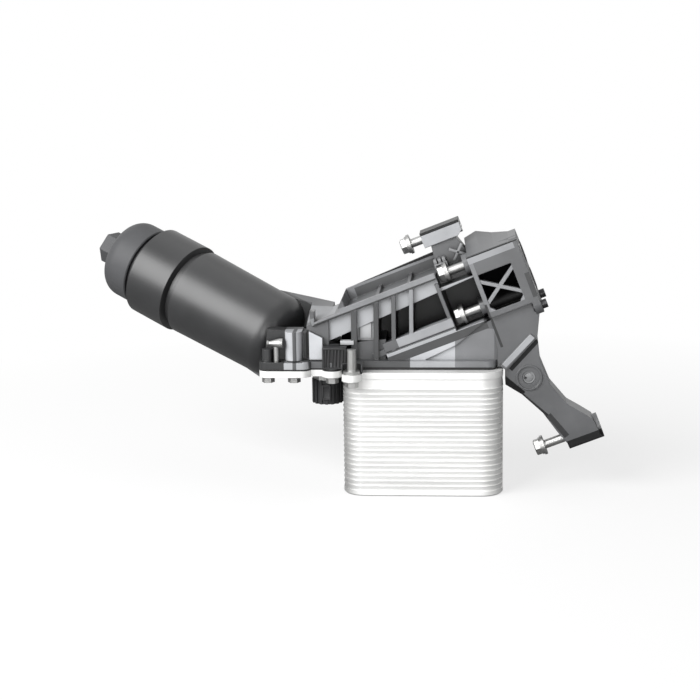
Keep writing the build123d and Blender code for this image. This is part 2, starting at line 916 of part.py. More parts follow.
    # Holes in the foot: screws, oil ports, the sensor and the post
    with BuildSketch(Plane.XY.offset(foot_bottom)):
        with Locations(*finger_screws, *tail_screws, *rear_screws, side_screw):
            Circle(screw_radius + press_gap)
    extrude(amount=screw_length - plate_thickness - gasket_thickness, mode=Mode.SUBTRACT)
    with BuildSketch(Plane.XY.offset(foot_bottom)):
        with Locations(*port_places):
            Circle(port_radius)
    extrude(amount=port_depth, mode=Mode.SUBTRACT)
    with BuildSketch(Plane.XY.offset(foot_bottom)):
        with Locations((sensor_x, sensor_y)):
            Circle(sensor_thread_radius + press_gap)
    extrude(amount=sensor_boss_height - 4, mode=Mode.SUBTRACT)

    # Joint line between the foot and the blocks on it
    with BuildSketch(level(60)):
        with Locations((left_edge - 23.5, foot_bottom + foot_height)):
            Rectangle(13, 1.2)
    extrude(amount=-31, mode=Mode.SUBTRACT)
    with BuildSketch(level(60)):
        with Locations((finger_screws[1][0], foot_bottom + foot_height)):
            Rectangle(2 * tall_boss_radius + 2, 1.2)
    extrude(amount=-25.5, mode=Mode.SUBTRACT)

    # Bore of the canister and of its collar
    with BuildSketch(canister_profile):
        with BuildLine():
            corner = canister_bore - bore_dome
            floor = canister_floor
            bore_step = mouth - collar_bore_length
            Line((0, floor), (corner, floor))
            ThreePointArc(
                (corner, floor),
                (corner + bore_dome * sin(radians(45)), floor + bore_dome * (1 - cos(radians(45)))),
                (canister_bore, floor + bore_dome),
            )
            Polyline(
                (canister_bore, floor + bore_dome),
                (canister_bore, bore_step),
                (collar_bore, bore_step + 2),
                (collar_bore, mouth),
                (0, mouth),
                (0, floor),
            )
        make_face()
    revolve(axis=canister_line, mode=Mode.SUBTRACT)
housing.part.label = "housing"

# Screw cap: dome, hexagon and skirt
cap_foot = mouth + cap_gap
with BuildPart() as screw_cap:
    with BuildSketch(canister_profile):
        with BuildLine():
            shoulder = cap_foot + cap_edge
            top = cap_foot + cap_height
            round_centre = cap_radius - cap_round
            round_end = (
                round_centre + cap_round * cos(radians(64)),
                shoulder + cap_round * sin(radians(64)),
            )
            Polyline((0, top), (0, mouth), (skirt_inner_radius, mouth - skirt_length))
            Polyline(
                (skirt_inner_radius, mouth - skirt_length),
                (skirt_outer_radius, mouth - skirt_length),
                (skirt_outer_radius, mouth - 1),
                (cap_neck_radius, mouth + 1),
                (cap_neck_radius, cap_foot),
                (cap_radius - 1, cap_foot),
                (cap_radius, cap_foot + 1),
                (cap_radius, shoulder),
            )
            ThreePointArc(
                (cap_radius, shoulder),
                (
                    round_centre + cap_round * cos(radians(32)),
                    shoulder + cap_round * sin(radians(32)),
                ),
                round_end,
            )
            Polyline(round_end, (cap_crown_radius, top), (0, top))
        make_face()
    revolve(axis=canister_line)
    with BuildSketch(canister_station(top - 2)):
        RegularPolygon(cap_hex / 2, 6, major_radius=False)
    extrude(amount=cap_hex_height + 2)
    chamfer(screw_cap.faces().sort_by(canister_line)[-1].edges(), 1.2)

    # Inside of the cap and skirt
    with BuildSketch(canister_profile):
        with BuildLine():
            Polyline(
                (0, mouth - skirt_length),
                (skirt_inner_radius, mouth - skirt_length),
                (skirt_inner_radius, mouth - 9),
                (cap_neck_radius - cap_wall, mouth - 5),
                (cap_neck_radius - cap_wall, shoulder + 2),
                (round_end[0] - cap_wall, round_end[1] - cap_wall),
                (cap_crown_radius - cap_wall, top - cap_wall),
                (0, top - cap_wall),
                close=True,
            )
        make_face()
    revolve(axis=canister_line, mode=Mode.SUBTRACT)

    # Groove for the sealing ring
    with BuildSketch(canister_profile):
        with Locations((skirt_outer_radius, mouth - o_ring_set_back)):
            Rectangle(2 * o_ring_groove, 2.6 * o_ring_wire)
    revolve(axis=canister_line, mode=Mode.SUBTRACT)
screw_cap.part.label = "screw_cap"

with BuildPart() as cap_o_ring:
    with BuildSketch(canister_profile):
        with Locations((collar_bore - press_gap - o_ring_wire, mouth - o_ring_set_back)):
            RegularPolygon(o_ring_wire, 8)
    revolve(axis=canister_line)
cap_o_ring.part.label = "cap_o_ring"

# Filter element: pleated paper between two discs, around a slotted core
pleats_bottom = element_bottom + element_disc
pleats_length = element_length - 2 * element_disc
core_radius = core_inner_radius + core_wall
with BuildPart() as filter_pleats:
    with BuildSketch(canister_station(pleats_bottom)):
        Circle(element_radius - pleat_inset)
        with PolarLocations(element_radius - pleat_inset, pleat_count):
            Polygon((1, -1.4), (1, 1.4), (-11, 0), align=None, mode=Mode.SUBTRACT)
        Circle(core_radius + press_gap, mode=Mode.SUBTRACT)
    extrude(amount=pleats_length)
filter_pleats.part.label = "filter_pleats"

with BuildPart() as element_bottom_disc:
    with BuildSketch(canister_station(element_bottom)):
        Circle(element_radius)
        Circle(core_inner_radius, mode=Mode.SUBTRACT)
    extrude(amount=element_disc)
element_bottom_disc.part.label = "element_bottom_disc"

with BuildPart() as element_top_disc:
    with BuildSketch(canister_station(element_bottom + element_length - element_disc)):
        Circle(element_radius)
    extrude(amount=element_disc)
element_top_disc.part.label = "element_top_disc"

with BuildPart() as element_core:
    with BuildSketch(canister_station(pleats_bottom)):
        Circle(core_radius)
        Circle(core_inner_radius, mode=Mode.SUBTRACT)
    extrude(amount=pleats_length)
    for row in range(core_slot_rows):
        slot_height = pleats_bottom + pleats_length * (row + 0.5) / core_slot_rows
        with Locations(canister_station(slot_height)):
            with PolarLocations(core_radius, core_slot_count):
                Box(4 * core_wall, core_slot_width, core_slot_length, mode=Mode.SUBTRACT)
element_core.part.label = "element_core"

# Standpipe that the element slides over, with the bypass valve in its top
standpipe_bottom = canister_floor
standpipe_bore = standpipe_radius - standpipe_wall
seat_bottom = standpipe_bottom + standpipe_length - 34
with BuildPart() as standpipe:
    with BuildSketch(canister_profile):
        with BuildLine():
            Polyline(
                (standpipe_bore, standpipe_bottom),
                (14.0, standpipe_bottom),
                (standpipe_radius, standpipe_bottom + standpipe_foot_height),
                (standpipe_radius, standpipe_bottom + standpipe_length - 2),
                (standpipe_radius - 1.2, standpipe_bottom + standpipe_length),
                (standpipe_bore, standpipe_bottom + standpipe_length),
                (standpipe_bore, seat_bottom + seat_thickness),
                (seat_radius, seat_bottom + seat_thickness),
                (seat_radius, seat_bottom),
                (standpipe_bore, seat_bottom),
                close=True,
            )
        make_face()
    revolve(axis=canister_line)
    with Locations(canister_station(standpipe_bottom + 40)):
        with PolarLocations(standpipe_radius, 4):
            Box(4 * standpipe_wall, 5, 18, mode=Mode.SUBTRACT)
standpipe.part.label = "standpipe"

poppet_bottom = seat_bottom + seat_thickness
with BuildPart() as bypass_poppet:
    with BuildSketch(canister_station(poppet_bottom)):
        Circle(poppet_radius)
    extrude(amount=poppet_thickness)
    with BuildSketch(canister_station(poppet_bottom)):
        Circle(poppet_stem_radius)
    extrude(amount=poppet_stem_length)
    chamfer(bypass_poppet.faces().sort_by(canister_line)[0].edges(), 1.0)
bypass_poppet.part.label = "bypass_poppet"

spring_bottom = poppet_bottom + poppet_thickness
cup_bottom = spring_bottom + spring_length
with BuildPart() as spring_cup:
    with BuildSketch(canister_station(cup_bottom)):
        Circle(standpipe_bore - press_gap)
        Circle(poppet_stem_radius + running_gap, mode=Mode.SUBTRACT)
        with PolarLocations(5.6, 4):
            Circle(1.4, mode=Mode.SUBTRACT)
    extrude(amount=cup_thickness)
spring_cup.part.label = "spring_cup"

with BuildPart() as bypass_spring:
    coil_height = spring_length - 2 * spring_wire - 0.2
    with BuildLine():
        coil = Helix(
            pitch=coil_height / spring_turns,
            height=coil_height,
            radius=spring_radius,
            center=canister_foot + canister_axis * (spring_bottom + spring_wire + 0.1),
            direction=canister_axis,
        )
    with BuildSketch(Plane(origin=coil @ 0, z_dir=coil % 0)):
        RegularPolygon(spring_wire, 4)
    sweep(is_frenet=True)
bypass_spring.part.label = "bypass_spring"

# Upright sleeve at the front of the plate, around a screw
with BuildPart() as post_sleeve:
    with BuildSketch(Plane.XY.offset(plate_top)):
        with Locations(post_place):
            Circle(post_flange_radius)
    extrude(amount=post_flange_height)
    with BuildSketch(Plane.XY.offset(plate_top)):
        with Locations(post_place):
            Circle(post_radius)
    extrude(amount=post_height)
    with BuildSketch(Plane.XY.offset(plate_top)):
        with Locations(post_place):
            Circle(screw_radius + press_gap)
    extrude(amount=post_height - 4, mode=Mode.SUBTRACT)
post_sleeve.part.label = "post_sleeve"

# Bleed nozzle: upright stem and tapered nozzle
nipple_x, nipple_y = nipple_place
nozzle_z = plate_top + nipple_height
with BuildPart() as bleed_nipple:
    with BuildSketch(Plane.XY.offset(plate_top)):
        with Locations(nipple_place):
            Circle(nipple_stem_radius)
    extrude(amount=nipple_height)
    with BuildSketch(Plane.XY.offset(plate_top)):
        with Locations(nipple_place):
            Circle(nipple_collar_radius)
    extrude(amount=nipple_collar_height)
    with BuildSketch(level(-nipple_y)):
        with BuildLine():
            Polyline(
                (nipple_x + nipple_root, nozzle_z),
                (nipple_x + nipple_root, nozzle_z + nozzle_root_radius),
                (nipple_x + nipple_root - 3, nozzle_z + nozzle_root_radius),
                (nipple_x - nipple_reach + 2, nozzle_z + nozzle_tip_radius),
                (nipple_x - nipple_reach, nozzle_z + nozzle_tip_radius + 0.8),
                (nipple_x - nipple_reach, nozzle_z),
                close=True,
            )
        make_face()
    revolve(axis=Axis((nipple_x, nipple_y, nozzle_z), (1, 0, 0)))
    with BuildSketch(Plane.YZ.offset(nipple_x - nipple_reach)):
        with Locations((nipple_y, nozzle_z)):
            Circle(nipple_bore)
    extrude(amount=nipple_reach, mode=Mode.SUBTRACT)
bleed_nipple.part.label = "bleed_nipple"

# Sensor: metal body, sealing washer, ribbed plug shroud and its pins
shoulder_z = foot_bottom - sensor_washer_thickness
hex_top = stack_height - 1.5
hex_bottom = hex_top - sensor_hex_height
with BuildPart() as sensor_body:
    with BuildSketch(Plane.XY.offset(hex_bottom)):
        with Locations((sensor_x, sensor_y)):
            RegularPolygon(sensor_hex / 2, 6, major_radius=False)
    extrude(amount=sensor_hex_height)
    with BuildSketch(Plane.XY.offset(hex_top)):
        with Locations((sensor_x, sensor_y)):
            Circle(sensor_neck_radius)
    extrude(amount=shoulder_z - hex_top)
    with BuildSketch(Plane.XY.offset(shoulder_z)):
        with Locations((sensor_x, sensor_y)):
            Circle(sensor_thread_radius)
    extrude(amount=sensor_thread_length)
sensor_body.part.label = "sensor_body"

with BuildPart() as sensor_washer:
    with BuildSketch(Plane.XY.offset(shoulder_z)):
        with Locations((sensor_x, sensor_y)):
            Circle(sensor_neck_radius - 0.5)
            Circle(sensor_thread_radius + press_gap, mode=Mode.SUBTRACT)
    extrude(amount=sensor_washer_thickness)
sensor_washer.part.label = "sensor_washer"

with BuildPart() as sensor_shroud:
    with BuildSketch(Plane.XY.offset(hex_bottom)):
        with Locations((sensor_x, sensor_y)):
            Circle(shroud_radius)
            with PolarLocations(shroud_radius, shroud_ribs):
                Rectangle(2 * shroud_rib, 2 * shroud_rib)
    extrude(amount=-shroud_height)
    with BuildSketch(Plane.XY.offset(hex_bottom - shroud_height)):
        with Locations((sensor_x, sensor_y)):
            Circle(shroud_radius - shroud_wall)
    extrude(amount=shroud_height - shroud_floor, mode=Mode.SUBTRACT)
sensor_shroud.part.label = "sensor_shroud"

with BuildPart() as sensor_pins:
    with BuildSketch(Plane.XY.offset(hex_bottom - shroud_floor)):
        with Locations(*[(sensor_x + x, sensor_y + y) for x, y in pin_places]):
            Circle(pin_radius)
    extrude(amount=-pin_length)
sensor_pins.part.label = "sensor_pins"

# Steel sleeves in the bolt holes
with BuildPart() as flange_sleeves:
    for rise in (upper_bolt_rise, lower_bolt_rise):
        with BuildSketch(bolt_station(flange_lug_left, rise, flange_bolt_y)):
            Circle(sleeve_radius)
            Circle(sleeve_bore, mode=Mode.SUBTRACT)
        extrude(amount=box_right - flange_lug_left)
flange_sleeves.part.label = "flange_sleeves"

with BuildPart() as lug_sleeve:
    with BuildSketch(bolt_station(top_lug_left, top_bolt_rise, top_bolt_y)):
        Circle(sleeve_radius)
        Circle(sleeve_bore, mode=Mode.SUBTRACT)
    extrude(amount=top_lug_right - top_lug_left)
lug_sleeve.part.label = "lug_sleeve"

arm_bolt_y = -arm_front + arm_thickness / 2
with BuildPart() as arm_sleeve:
    with BuildSketch(bolt_station(arm_boss_left, arm_bolt_rise, arm_bolt_y)):
        Circle(sleeve_radius)
        Circle(sleeve_bore, mode=Mode.SUBTRACT)
    extrude(amount=arm_boss_right - arm_boss_left)
arm_sleeve.part.label = "arm_sleeve"

# Seals and dowels of the engine flange
with BuildPart() as flange_seals:
    for rise in flange_port_rises:
        station = bolt_station(box_right - 0.5 * flange_seal_wire, rise, flange_port_depth_place)
        with BuildSketch(Plane(origin=station.origin, x_dir=station.x_dir, z_dir=station.y_dir)):
            with Locations((flange_port_radius + flange_seal_wire, 0)):
                RegularPolygon(0.95 * flange_seal_wire, 8)
        revolve(axis=Axis(station.origin, station.z_dir))
flange_seals.part.label = "flange_seals"

with BuildPart() as flange_dowels:
    for depth in (dowel_front, dowel_back):
        with BuildSketch(bolt_station(box_right + dowel_out, dowel_rise, depth)):
            Circle(dowel_radius)
        extrude(amount=-dowel_out)
        with BuildSketch(bolt_station(box_right, dowel_rise, depth)):
            Circle(dowel_root_radius)
        extrude(amount=dowel_out - dowel_length)
        with BuildSketch(bolt_station(box_right + dowel_out, dowel_rise, depth)):
            Circle(dowel_bore)
        extrude(amount=-dowel_length, mode=Mode.SUBTRACT)
flange_dowels.part.label = "flange_dowels"

# Captive bolts, drawn back out of their sleeves, each with a loose washer under its head
bolts = (
    ("upper_bolt", flange_lug_left, box_right, upper_bolt_rise, flange_bolt_y, flange_bolt_draw),
    ("lower_bolt", flange_lug_left, box_right, lower_bolt_rise, flange_bolt_y, flange_bolt_draw),
    ("top_bolt", top_lug_left, top_lug_right, top_bolt_rise, top_bolt_y, top_bolt_draw),
    ("arm_bolt", arm_boss_left, arm_boss_right, arm_bolt_rise, arm_bolt_y, arm_bolt_draw),
)

os.makedirs("parts", exist_ok=True)

for name, lug_left, lug_right, rise, depth, draw in bolts:
    seat = lug_left - washer_thickness - draw
    with BuildPart() as bolt:
        with BuildSketch(bolt_station(seat, rise, depth)):
            RegularPolygon(bolt_hex / 2, 6, major_radius=False)
        extrude(amount=-bolt_head_height)
        chamfer(bolt.faces().sort_by(Axis(frame_origin, bolt_direction))[0].edges(), 0.8)
        with BuildSketch(bolt_station(seat, rise, depth)):
            Circle(bolt_flange_radius)
        extrude(amount=-bolt_flange_height)
        with BuildSketch(bolt_station(seat, rise, depth)):
            Circle(bolt_radius)
        extrude(amount=lug_right - tip_set_back - seat)
        chamfer(
            bolt.faces().sort_by(Axis(frame_origin, bolt_direction))[-1].edges(), bolt_tip_chamfer
        )
    bolt.part.label = name
    export_step(bolt.part, f"parts/{name}.step")

    with BuildPart() as washer:
        with BuildSketch(bolt_station(seat, rise, depth)):
            Circle(washer_radius)
            Circle(bolt_radius + running_gap, mode=Mode.SUBTRACT)
        extrude(amount=washer_thickness)
    washer.part.label = name.replace("bolt", "washer")
    export_step(washer.part, f"parts/{washer.part.label}.step")

export_step(housing.part, "parts/housing.step")
export_step(cooler_stack.part, "parts/cooler_stack.step")
export_step(base_plate.part, "parts/base_plate.step")
export_step(foot_gasket.part, "parts/foot_gasket.step")
export_step(plate_screws.part, "parts/plate_screws.step")
export_step(screw_cap.part, "parts/screw_cap.step")
export_step(cap_o_ring.part, "parts/cap_o_ring.step")
export_step(filter_pleats.part, "parts/filter_pleats.step")
export_step(element_bottom_disc.part, "parts/element_bottom_disc.step")
export_step(element_top_disc.part, "parts/element_top_disc.step")
export_step(element_core.part, "parts/element_core.step")
export_step(standpipe.part, "parts/standpipe.step")
export_step(bypass_poppet.part, "parts/bypass_poppet.step")
export_step(bypass_spring.part, "parts/bypass_spring.step")
export_step(spring_cup.part, "parts/spring_cup.step")
export_step(post_sleeve.part, "parts/post_sleeve.step")
export_step(bleed_nipple.part, "parts/bleed_nipple.step")
export_step(sensor_body.part, "parts/sensor_body.step")
export_step(sensor_washer.part, "parts/sensor_washer.step")
export_step(sensor_shroud.part, "parts/sensor_shroud.step")
export_step(sensor_pins.part, "parts/sensor_pins.step")
export_step(flange_sleeves.part, "parts/flange_sleeves.step")
export_step(lug_sleeve.part, "parts/lug_sleeve.step")
export_step(arm_sleeve.part, "parts/arm_sleeve.step")
export_step(flange_seals.part, "parts/flange_seals.step")
export_step(flange_dowels.part, "parts/flange_dowels.step")
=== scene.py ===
"""Dresses the oil filter housing: moulded plastics, bright cooler, plated bolts, floor, lamps, camera."""

from __future__ import annotations

import logging
import math
from collections.abc import Callable
from dataclasses import dataclass, field
from enum import Enum

import bpy
from mathutils import Matrix, Vector


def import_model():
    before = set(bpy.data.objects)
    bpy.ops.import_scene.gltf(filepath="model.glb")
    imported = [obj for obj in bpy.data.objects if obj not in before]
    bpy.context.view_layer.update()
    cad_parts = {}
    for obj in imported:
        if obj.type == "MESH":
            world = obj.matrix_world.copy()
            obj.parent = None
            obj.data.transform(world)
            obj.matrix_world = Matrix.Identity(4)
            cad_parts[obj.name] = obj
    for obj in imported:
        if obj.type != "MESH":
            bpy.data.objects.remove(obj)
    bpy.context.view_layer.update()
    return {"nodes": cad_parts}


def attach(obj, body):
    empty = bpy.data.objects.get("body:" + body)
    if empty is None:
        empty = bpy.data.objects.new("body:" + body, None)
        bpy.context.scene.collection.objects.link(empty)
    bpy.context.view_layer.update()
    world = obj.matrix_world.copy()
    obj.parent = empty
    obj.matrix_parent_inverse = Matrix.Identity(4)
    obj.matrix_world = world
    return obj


LOG = logging.getLogger("housing")

Colour = tuple[float, float, float]
Point = tuple[float, float, float]
Range = tuple[float, float]

MM = 0.001
EVEN: Point = (1.0, 1.0, 1.0)
WHITE = (1.0, 1.0, 1.0, 1.0)
FORWARDS: Point = (0.0, -1.0, 0.0)
BACKWARDS: Point = (0.0, 1.0, 0.0)
UPWARDS: Point = (0.0, 0.0, 1.0)

# The ribbed frame and its bolts rise to the right by this angle.
TILT = math.radians(21.0)
ALONG_BOLTS = Vector((math.cos(TILT), 0.0, math.sin(TILT)))
FRAME_UP = Vector((-math.sin(TILT), 0.0, math.cos(TILT)))
FRAME_ORIGIN = Vector((0.0, 0.0, 0.160))

# The canister starts here and points this way, in millimetres. Its wide collar starts further along.
CANISTER_FOOT: Point = (-125.3, 16.2, 128.7)
CANISTER_AXIS: Point = (-0.83789, 0.41593, 0.35347)
COLLAR_START = 112.0

# A face looks along a direction from this cosine on. Edges that turn by more than SHARP are rounded.
SAME_WAY = 0.9
SHARP = math.radians(35.0)
ROUNDING_STEPS = 2


class Grain(Enum):
    """How fine the surface relief of a finish is, as noise scale per metre."""

    TOOL_TEXTURE = 900.0
    CAST = 420.0
    ROLLED = 160.0
    WOVEN = 1500.0


def principled(name: str) -> tuple[bpy.types.Material, bpy.types.Node]:
    """Start a node material.

    Args:
        name: Name of the material.

    Returns:
        The material and its surface shader.
    """
    material = bpy.data.materials.new(name)
    material.use_nodes = True
    return material, material.node_tree.nodes["Principled BSDF"]


def object_place(tree: bpy.types.NodeTree) -> bpy.types.NodeSocket:
    """Give the place on the object that is being shaded."""
    return tree.nodes.new("ShaderNodeTexCoord").outputs["Object"]


def object_noise(
    tree: bpy.types.NodeTree, scale: float, detail: float, stretch: Point = EVEN
) -> bpy.types.NodeSocket:
    """Add a noise pattern in object space.

    Args:
        tree: Node tree to add it to.
        scale: Noise scale per metre.
        detail: Number of octaves.
        stretch: Scale of the space along each axis.

    Returns:
        The noise, from 0 to 1.
    """
    mapping = tree.nodes.new("ShaderNodeMapping")
    mapping.inputs["Scale"].default_value = stretch
    noise = tree.nodes.new("ShaderNodeTexNoise")
    noise.inputs["Scale"].default_value = scale
    noise.inputs["Detail"].default_value = detail
    tree.links.new(object_place(tree), mapping.inputs["Vector"])
    tree.links.new(mapping.outputs["Vector"], noise.inputs["Vector"])
    return noise.outputs["Fac"]


def two_tones(
    tree: bpy.types.NodeTree,
    source: bpy.types.NodeSocket,
    stops: Range,
    colours: tuple[Colour, Colour],
) -> bpy.types.NodeSocket:
    """Turn a value into a colour between two others.

    Args:
        tree: Node tree to add the ramp to.
        source: Value from 0 to 1.
        stops: Values of the two pure colours.
        colours: The two colours.

    Returns:
        The colour.
    """
    node = tree.nodes.new("ShaderNodeValToRGB")
    for element, stop, colour in zip(node.color_ramp.elements, stops, colours):
        element.position = stop
        element.color = (*colour, 1.0)
    tree.links.new(source, node.inputs["Fac"])
    return node.outputs["Color"]


def span(
    tree: bpy.types.NodeTree,
    source: bpy.types.NodeSocket,
    low: float,
    high: float,
    start: float = 0.0,
    end: float = 1.0,
) -> bpy.types.NodeSocket:
    """Map a value to a range.

    Args:
        tree: Node tree to add the node to.
        source: The value.
        low: Result at the start.
        high: Result at the end.
        start: Value that gives the low result.
        end: Value that gives the high result.

    Returns:
        The mapped value.
    """
    node = tree.nodes.new("ShaderNodeMapRange")
    node.inputs["From Min"].default_value = start
    node.inputs["From Max"].default_value = end
    node.inputs["To Min"].default_value = low
    node.inputs["To Max"].default_value = high
    tree.links.new(source, node.inputs["Value"])
    return node.outputs["Result"]


def arithmetic(
    tree: bpy.types.NodeTree,
    operation: str,
    first: bpy.types.NodeSocket,
    second: bpy.types.NodeSocket | float,
) -> bpy.types.NodeSocket:
    """Add one sum.

    Args:
        tree: Node tree to add it to.
        operation: Name of the operation.
        first: First value.
        second: Second value, a socket or a plain number.

    Returns:
        The result.
    """
    node = tree.nodes.new("ShaderNodeMath")
    node.operation = operation
    tree.links.new(first, node.inputs[0])
    if isinstance(second, float):
        node.inputs[1].default_value = second
    else:
        tree.links.new(second, node.inputs[1])
    return node.outputs["Value"]


def toned(
    tree: bpy.types.NodeTree, colour: bpy.types.NodeSocket, tone: bpy.types.NodeSocket
) -> bpy.types.NodeSocket:
    """Make a colour lighter or darker.

    Args:
        tree: Node tree to add the node to.
        colour: The colour.
        tone: What it is multiplied by.

    Returns:
        The new colour.
    """
    node = tree.nodes.new("ShaderNodeVectorMath")
    node.operation = "SCALE"
    tree.links.new(colour, node.inputs[0])
    tree.links.new(tone, node.inputs["Scale"])
    return node.outputs["Vector"]


def split(
    tree: bpy.types.NodeTree, place: bpy.types.NodeSocket
) -> tuple[bpy.types.NodeSocket, bpy.types.NodeSocket, bpy.types.NodeSocket]:
    """Take a place apart.

    Args:
        tree: Node tree to add the node to.
        place: The place.

    Returns:
        Its x, y and z.
    """
    parts = tree.nodes.new("ShaderNodeSeparateXYZ")
    tree.links.new(place, parts.inputs["Vector"])
    return parts.outputs["X"], parts.outputs["Y"], parts.outputs["Z"]


@dataclass(frozen=True)
class Zone:
    """A box in millimetres in which the plastic gets another tone as painted light and shade: painted light
    above 1, painted shade below 1.

    The corners of a tilted one are along, in depth and up the ribbed frame.
    """

    low: Point
    high: Point
    tone: float
    tilted: bool = False

    def mask(self, tree: bpy.types.NodeTree) -> bpy.types.NodeSocket:
        """Add the nodes that find the box.

        Args:
            tree: Node tree to add them to.

        Returns:
            A value that is 1 inside the box and 0 outside it.
        """
        place = object_place(tree)
        if self.tilted:
            level = tree.nodes.new("ShaderNodeMapping")
            level.vector_type = "TEXTURE"
            level.inputs["Location"].default_value = FRAME_ORIGIN
            level.inputs["Rotation"].default_value = (0.0, -TILT, 0.0)
            tree.links.new(place, level.inputs["Vector"])
            place = level.outputs["Vector"]
        half = [0.5 * MM * (high - low) for low, high in zip(self.low, self.high)]
        centre = [0.5 * MM * (high + low) for low, high in zip(self.low, self.high)]
        unit = tree.nodes.new("ShaderNodeMapping")
        unit.inputs["Scale"].default_value = [1.0 / size for size in half]
        unit.inputs["Location"].default_value = [-middle / size for middle, size in zip(centre, half)]
        tree.links.new(place, unit.inputs["Vector"])
        away = tree.nodes.new("ShaderNodeVectorMath")
        away.operation = "ABSOLUTE"
        tree.links.new(unit.outputs["Vector"], away.inputs[0])
        x, y, z = split(tree, away.outputs["Vector"])
        furthest = arithmetic(tree, "MAXIMUM", arithmetic(tree, "MAXIMUM", x, y), z)
        return arithmetic(tree, "LESS_THAN", furthest, 1.0)


@dataclass(frozen=True)
class Barrel:
    """A round stretch of space in millimetres, along a unit vector, in which the plastic gets another tone
    as painted light and shade.
    """

    foot: Point
    direction: Point
    length: float
    radius: float
    tone: float

    def mask(self, tree: bpy.types.NodeTree) -> bpy.types.NodeSocket:
        """Add the nodes that find the stretch.

        Args:
            tree: Node tree to add them to.

        Returns:
            A value that is 1 inside the stretch and 0 outside it.
        """
        way = Vector(self.direction)
        half_length = 0.5 * self.length * MM
        wide = self.radius * MM
        along = tree.nodes.new("ShaderNodeMapping")
        along.vector_type = "TEXTURE"
        along.inputs["Location"].default_value = Vector(self.foot) * MM + way * half_length
        along.inputs["Rotation"].default_value = way.to_track_quat("Z", "Y").to_euler()
        along.inputs["Scale"].default_value = (wide, wide, half_length)
        tree.links.new(object_place(tree), along.inputs["Vector"])
        x, y, z = (arithmetic(tree, "POWER", part, 2.0) for part in split(tree, along.outputs["Vector"]))
        furthest = arithmetic(tree, "MAXIMUM", arithmetic(tree, "ADD", x, y), z)
        return arithmetic(tree, "LESS_THAN", furthest, 1.0)


@dataclass(frozen=True)
class ShadedEnd:
    """Painted shade on one end of a part along x, in millimetres: where it's darkest, where it ends, and its
    tone.
    """

    darkest: float
    full: float
    tone: float

    def shade(self, tree: bpy.types.NodeTree) -> bpy.types.NodeSocket:
        """Add the nodes that darken the end.

        Args:
            tree: Node tree to add them to.

        Returns:
            The tone, which is 1 past the end.
        """
        x, _, _ = split(tree, object_place(tree))
        return span(tree, x, self.tone, 1.0, self.darkest * MM, self.full * MM)


@dataclass(frozen=True)
class Finish:
    """What plastics and metals share: a colour, its roughness, a fine relief and softened edges."""

    name: str
    colour: Colour
    roughness: float = 0.42
    rough_range: Range = (0.85, 1.18)
    grain: Grain = Grain.TOOL_TEXTURE
    relief: float = 0.00004
    relief_strength: float = 0.6
    edge: float = 0.0009

    def build(self) -> bpy.types.Material:
        """Make the material, which each kind of finish does in its own way."""
        raise NotImplementedError

    def texture(
        self,
        tree: bpy.types.NodeTree,
        shader: bpy.types.Node,
        uneven: bpy.types.NodeSocket,
        fine: bpy.types.NodeSocket,
    ) -> None:
        """Wire up the roughness, the fine relief and the softened edges.

        Args:
            tree: Node tree to add the nodes to.
            shader: Surface shader.
            uneven: Pattern that the roughness follows.
            fine: Pattern of the relief.
        """
        smoothest, roughest = (self.roughness * share for share in self.rough_range)
        tree.links.new(span(tree, uneven, smoothest, roughest), shader.inputs["Roughness"])
        bump = tree.nodes.new("ShaderNodeBump")
        bump.inputs["Distance"].default_value = self.relief
        bump.inputs["Strength"].default_value = self.relief_strength
        soft = tree.nodes.new("ShaderNodeBevel")
        soft.inputs["Radius"].default_value = self.edge
        tree.links.new(fine, bump.inputs["Height"])
        tree.links.new(soft.outputs["Normal"], bump.inputs["Normal"])
        tree.links.new(bump.outputs["Normal"], shader.inputs["Normal"])


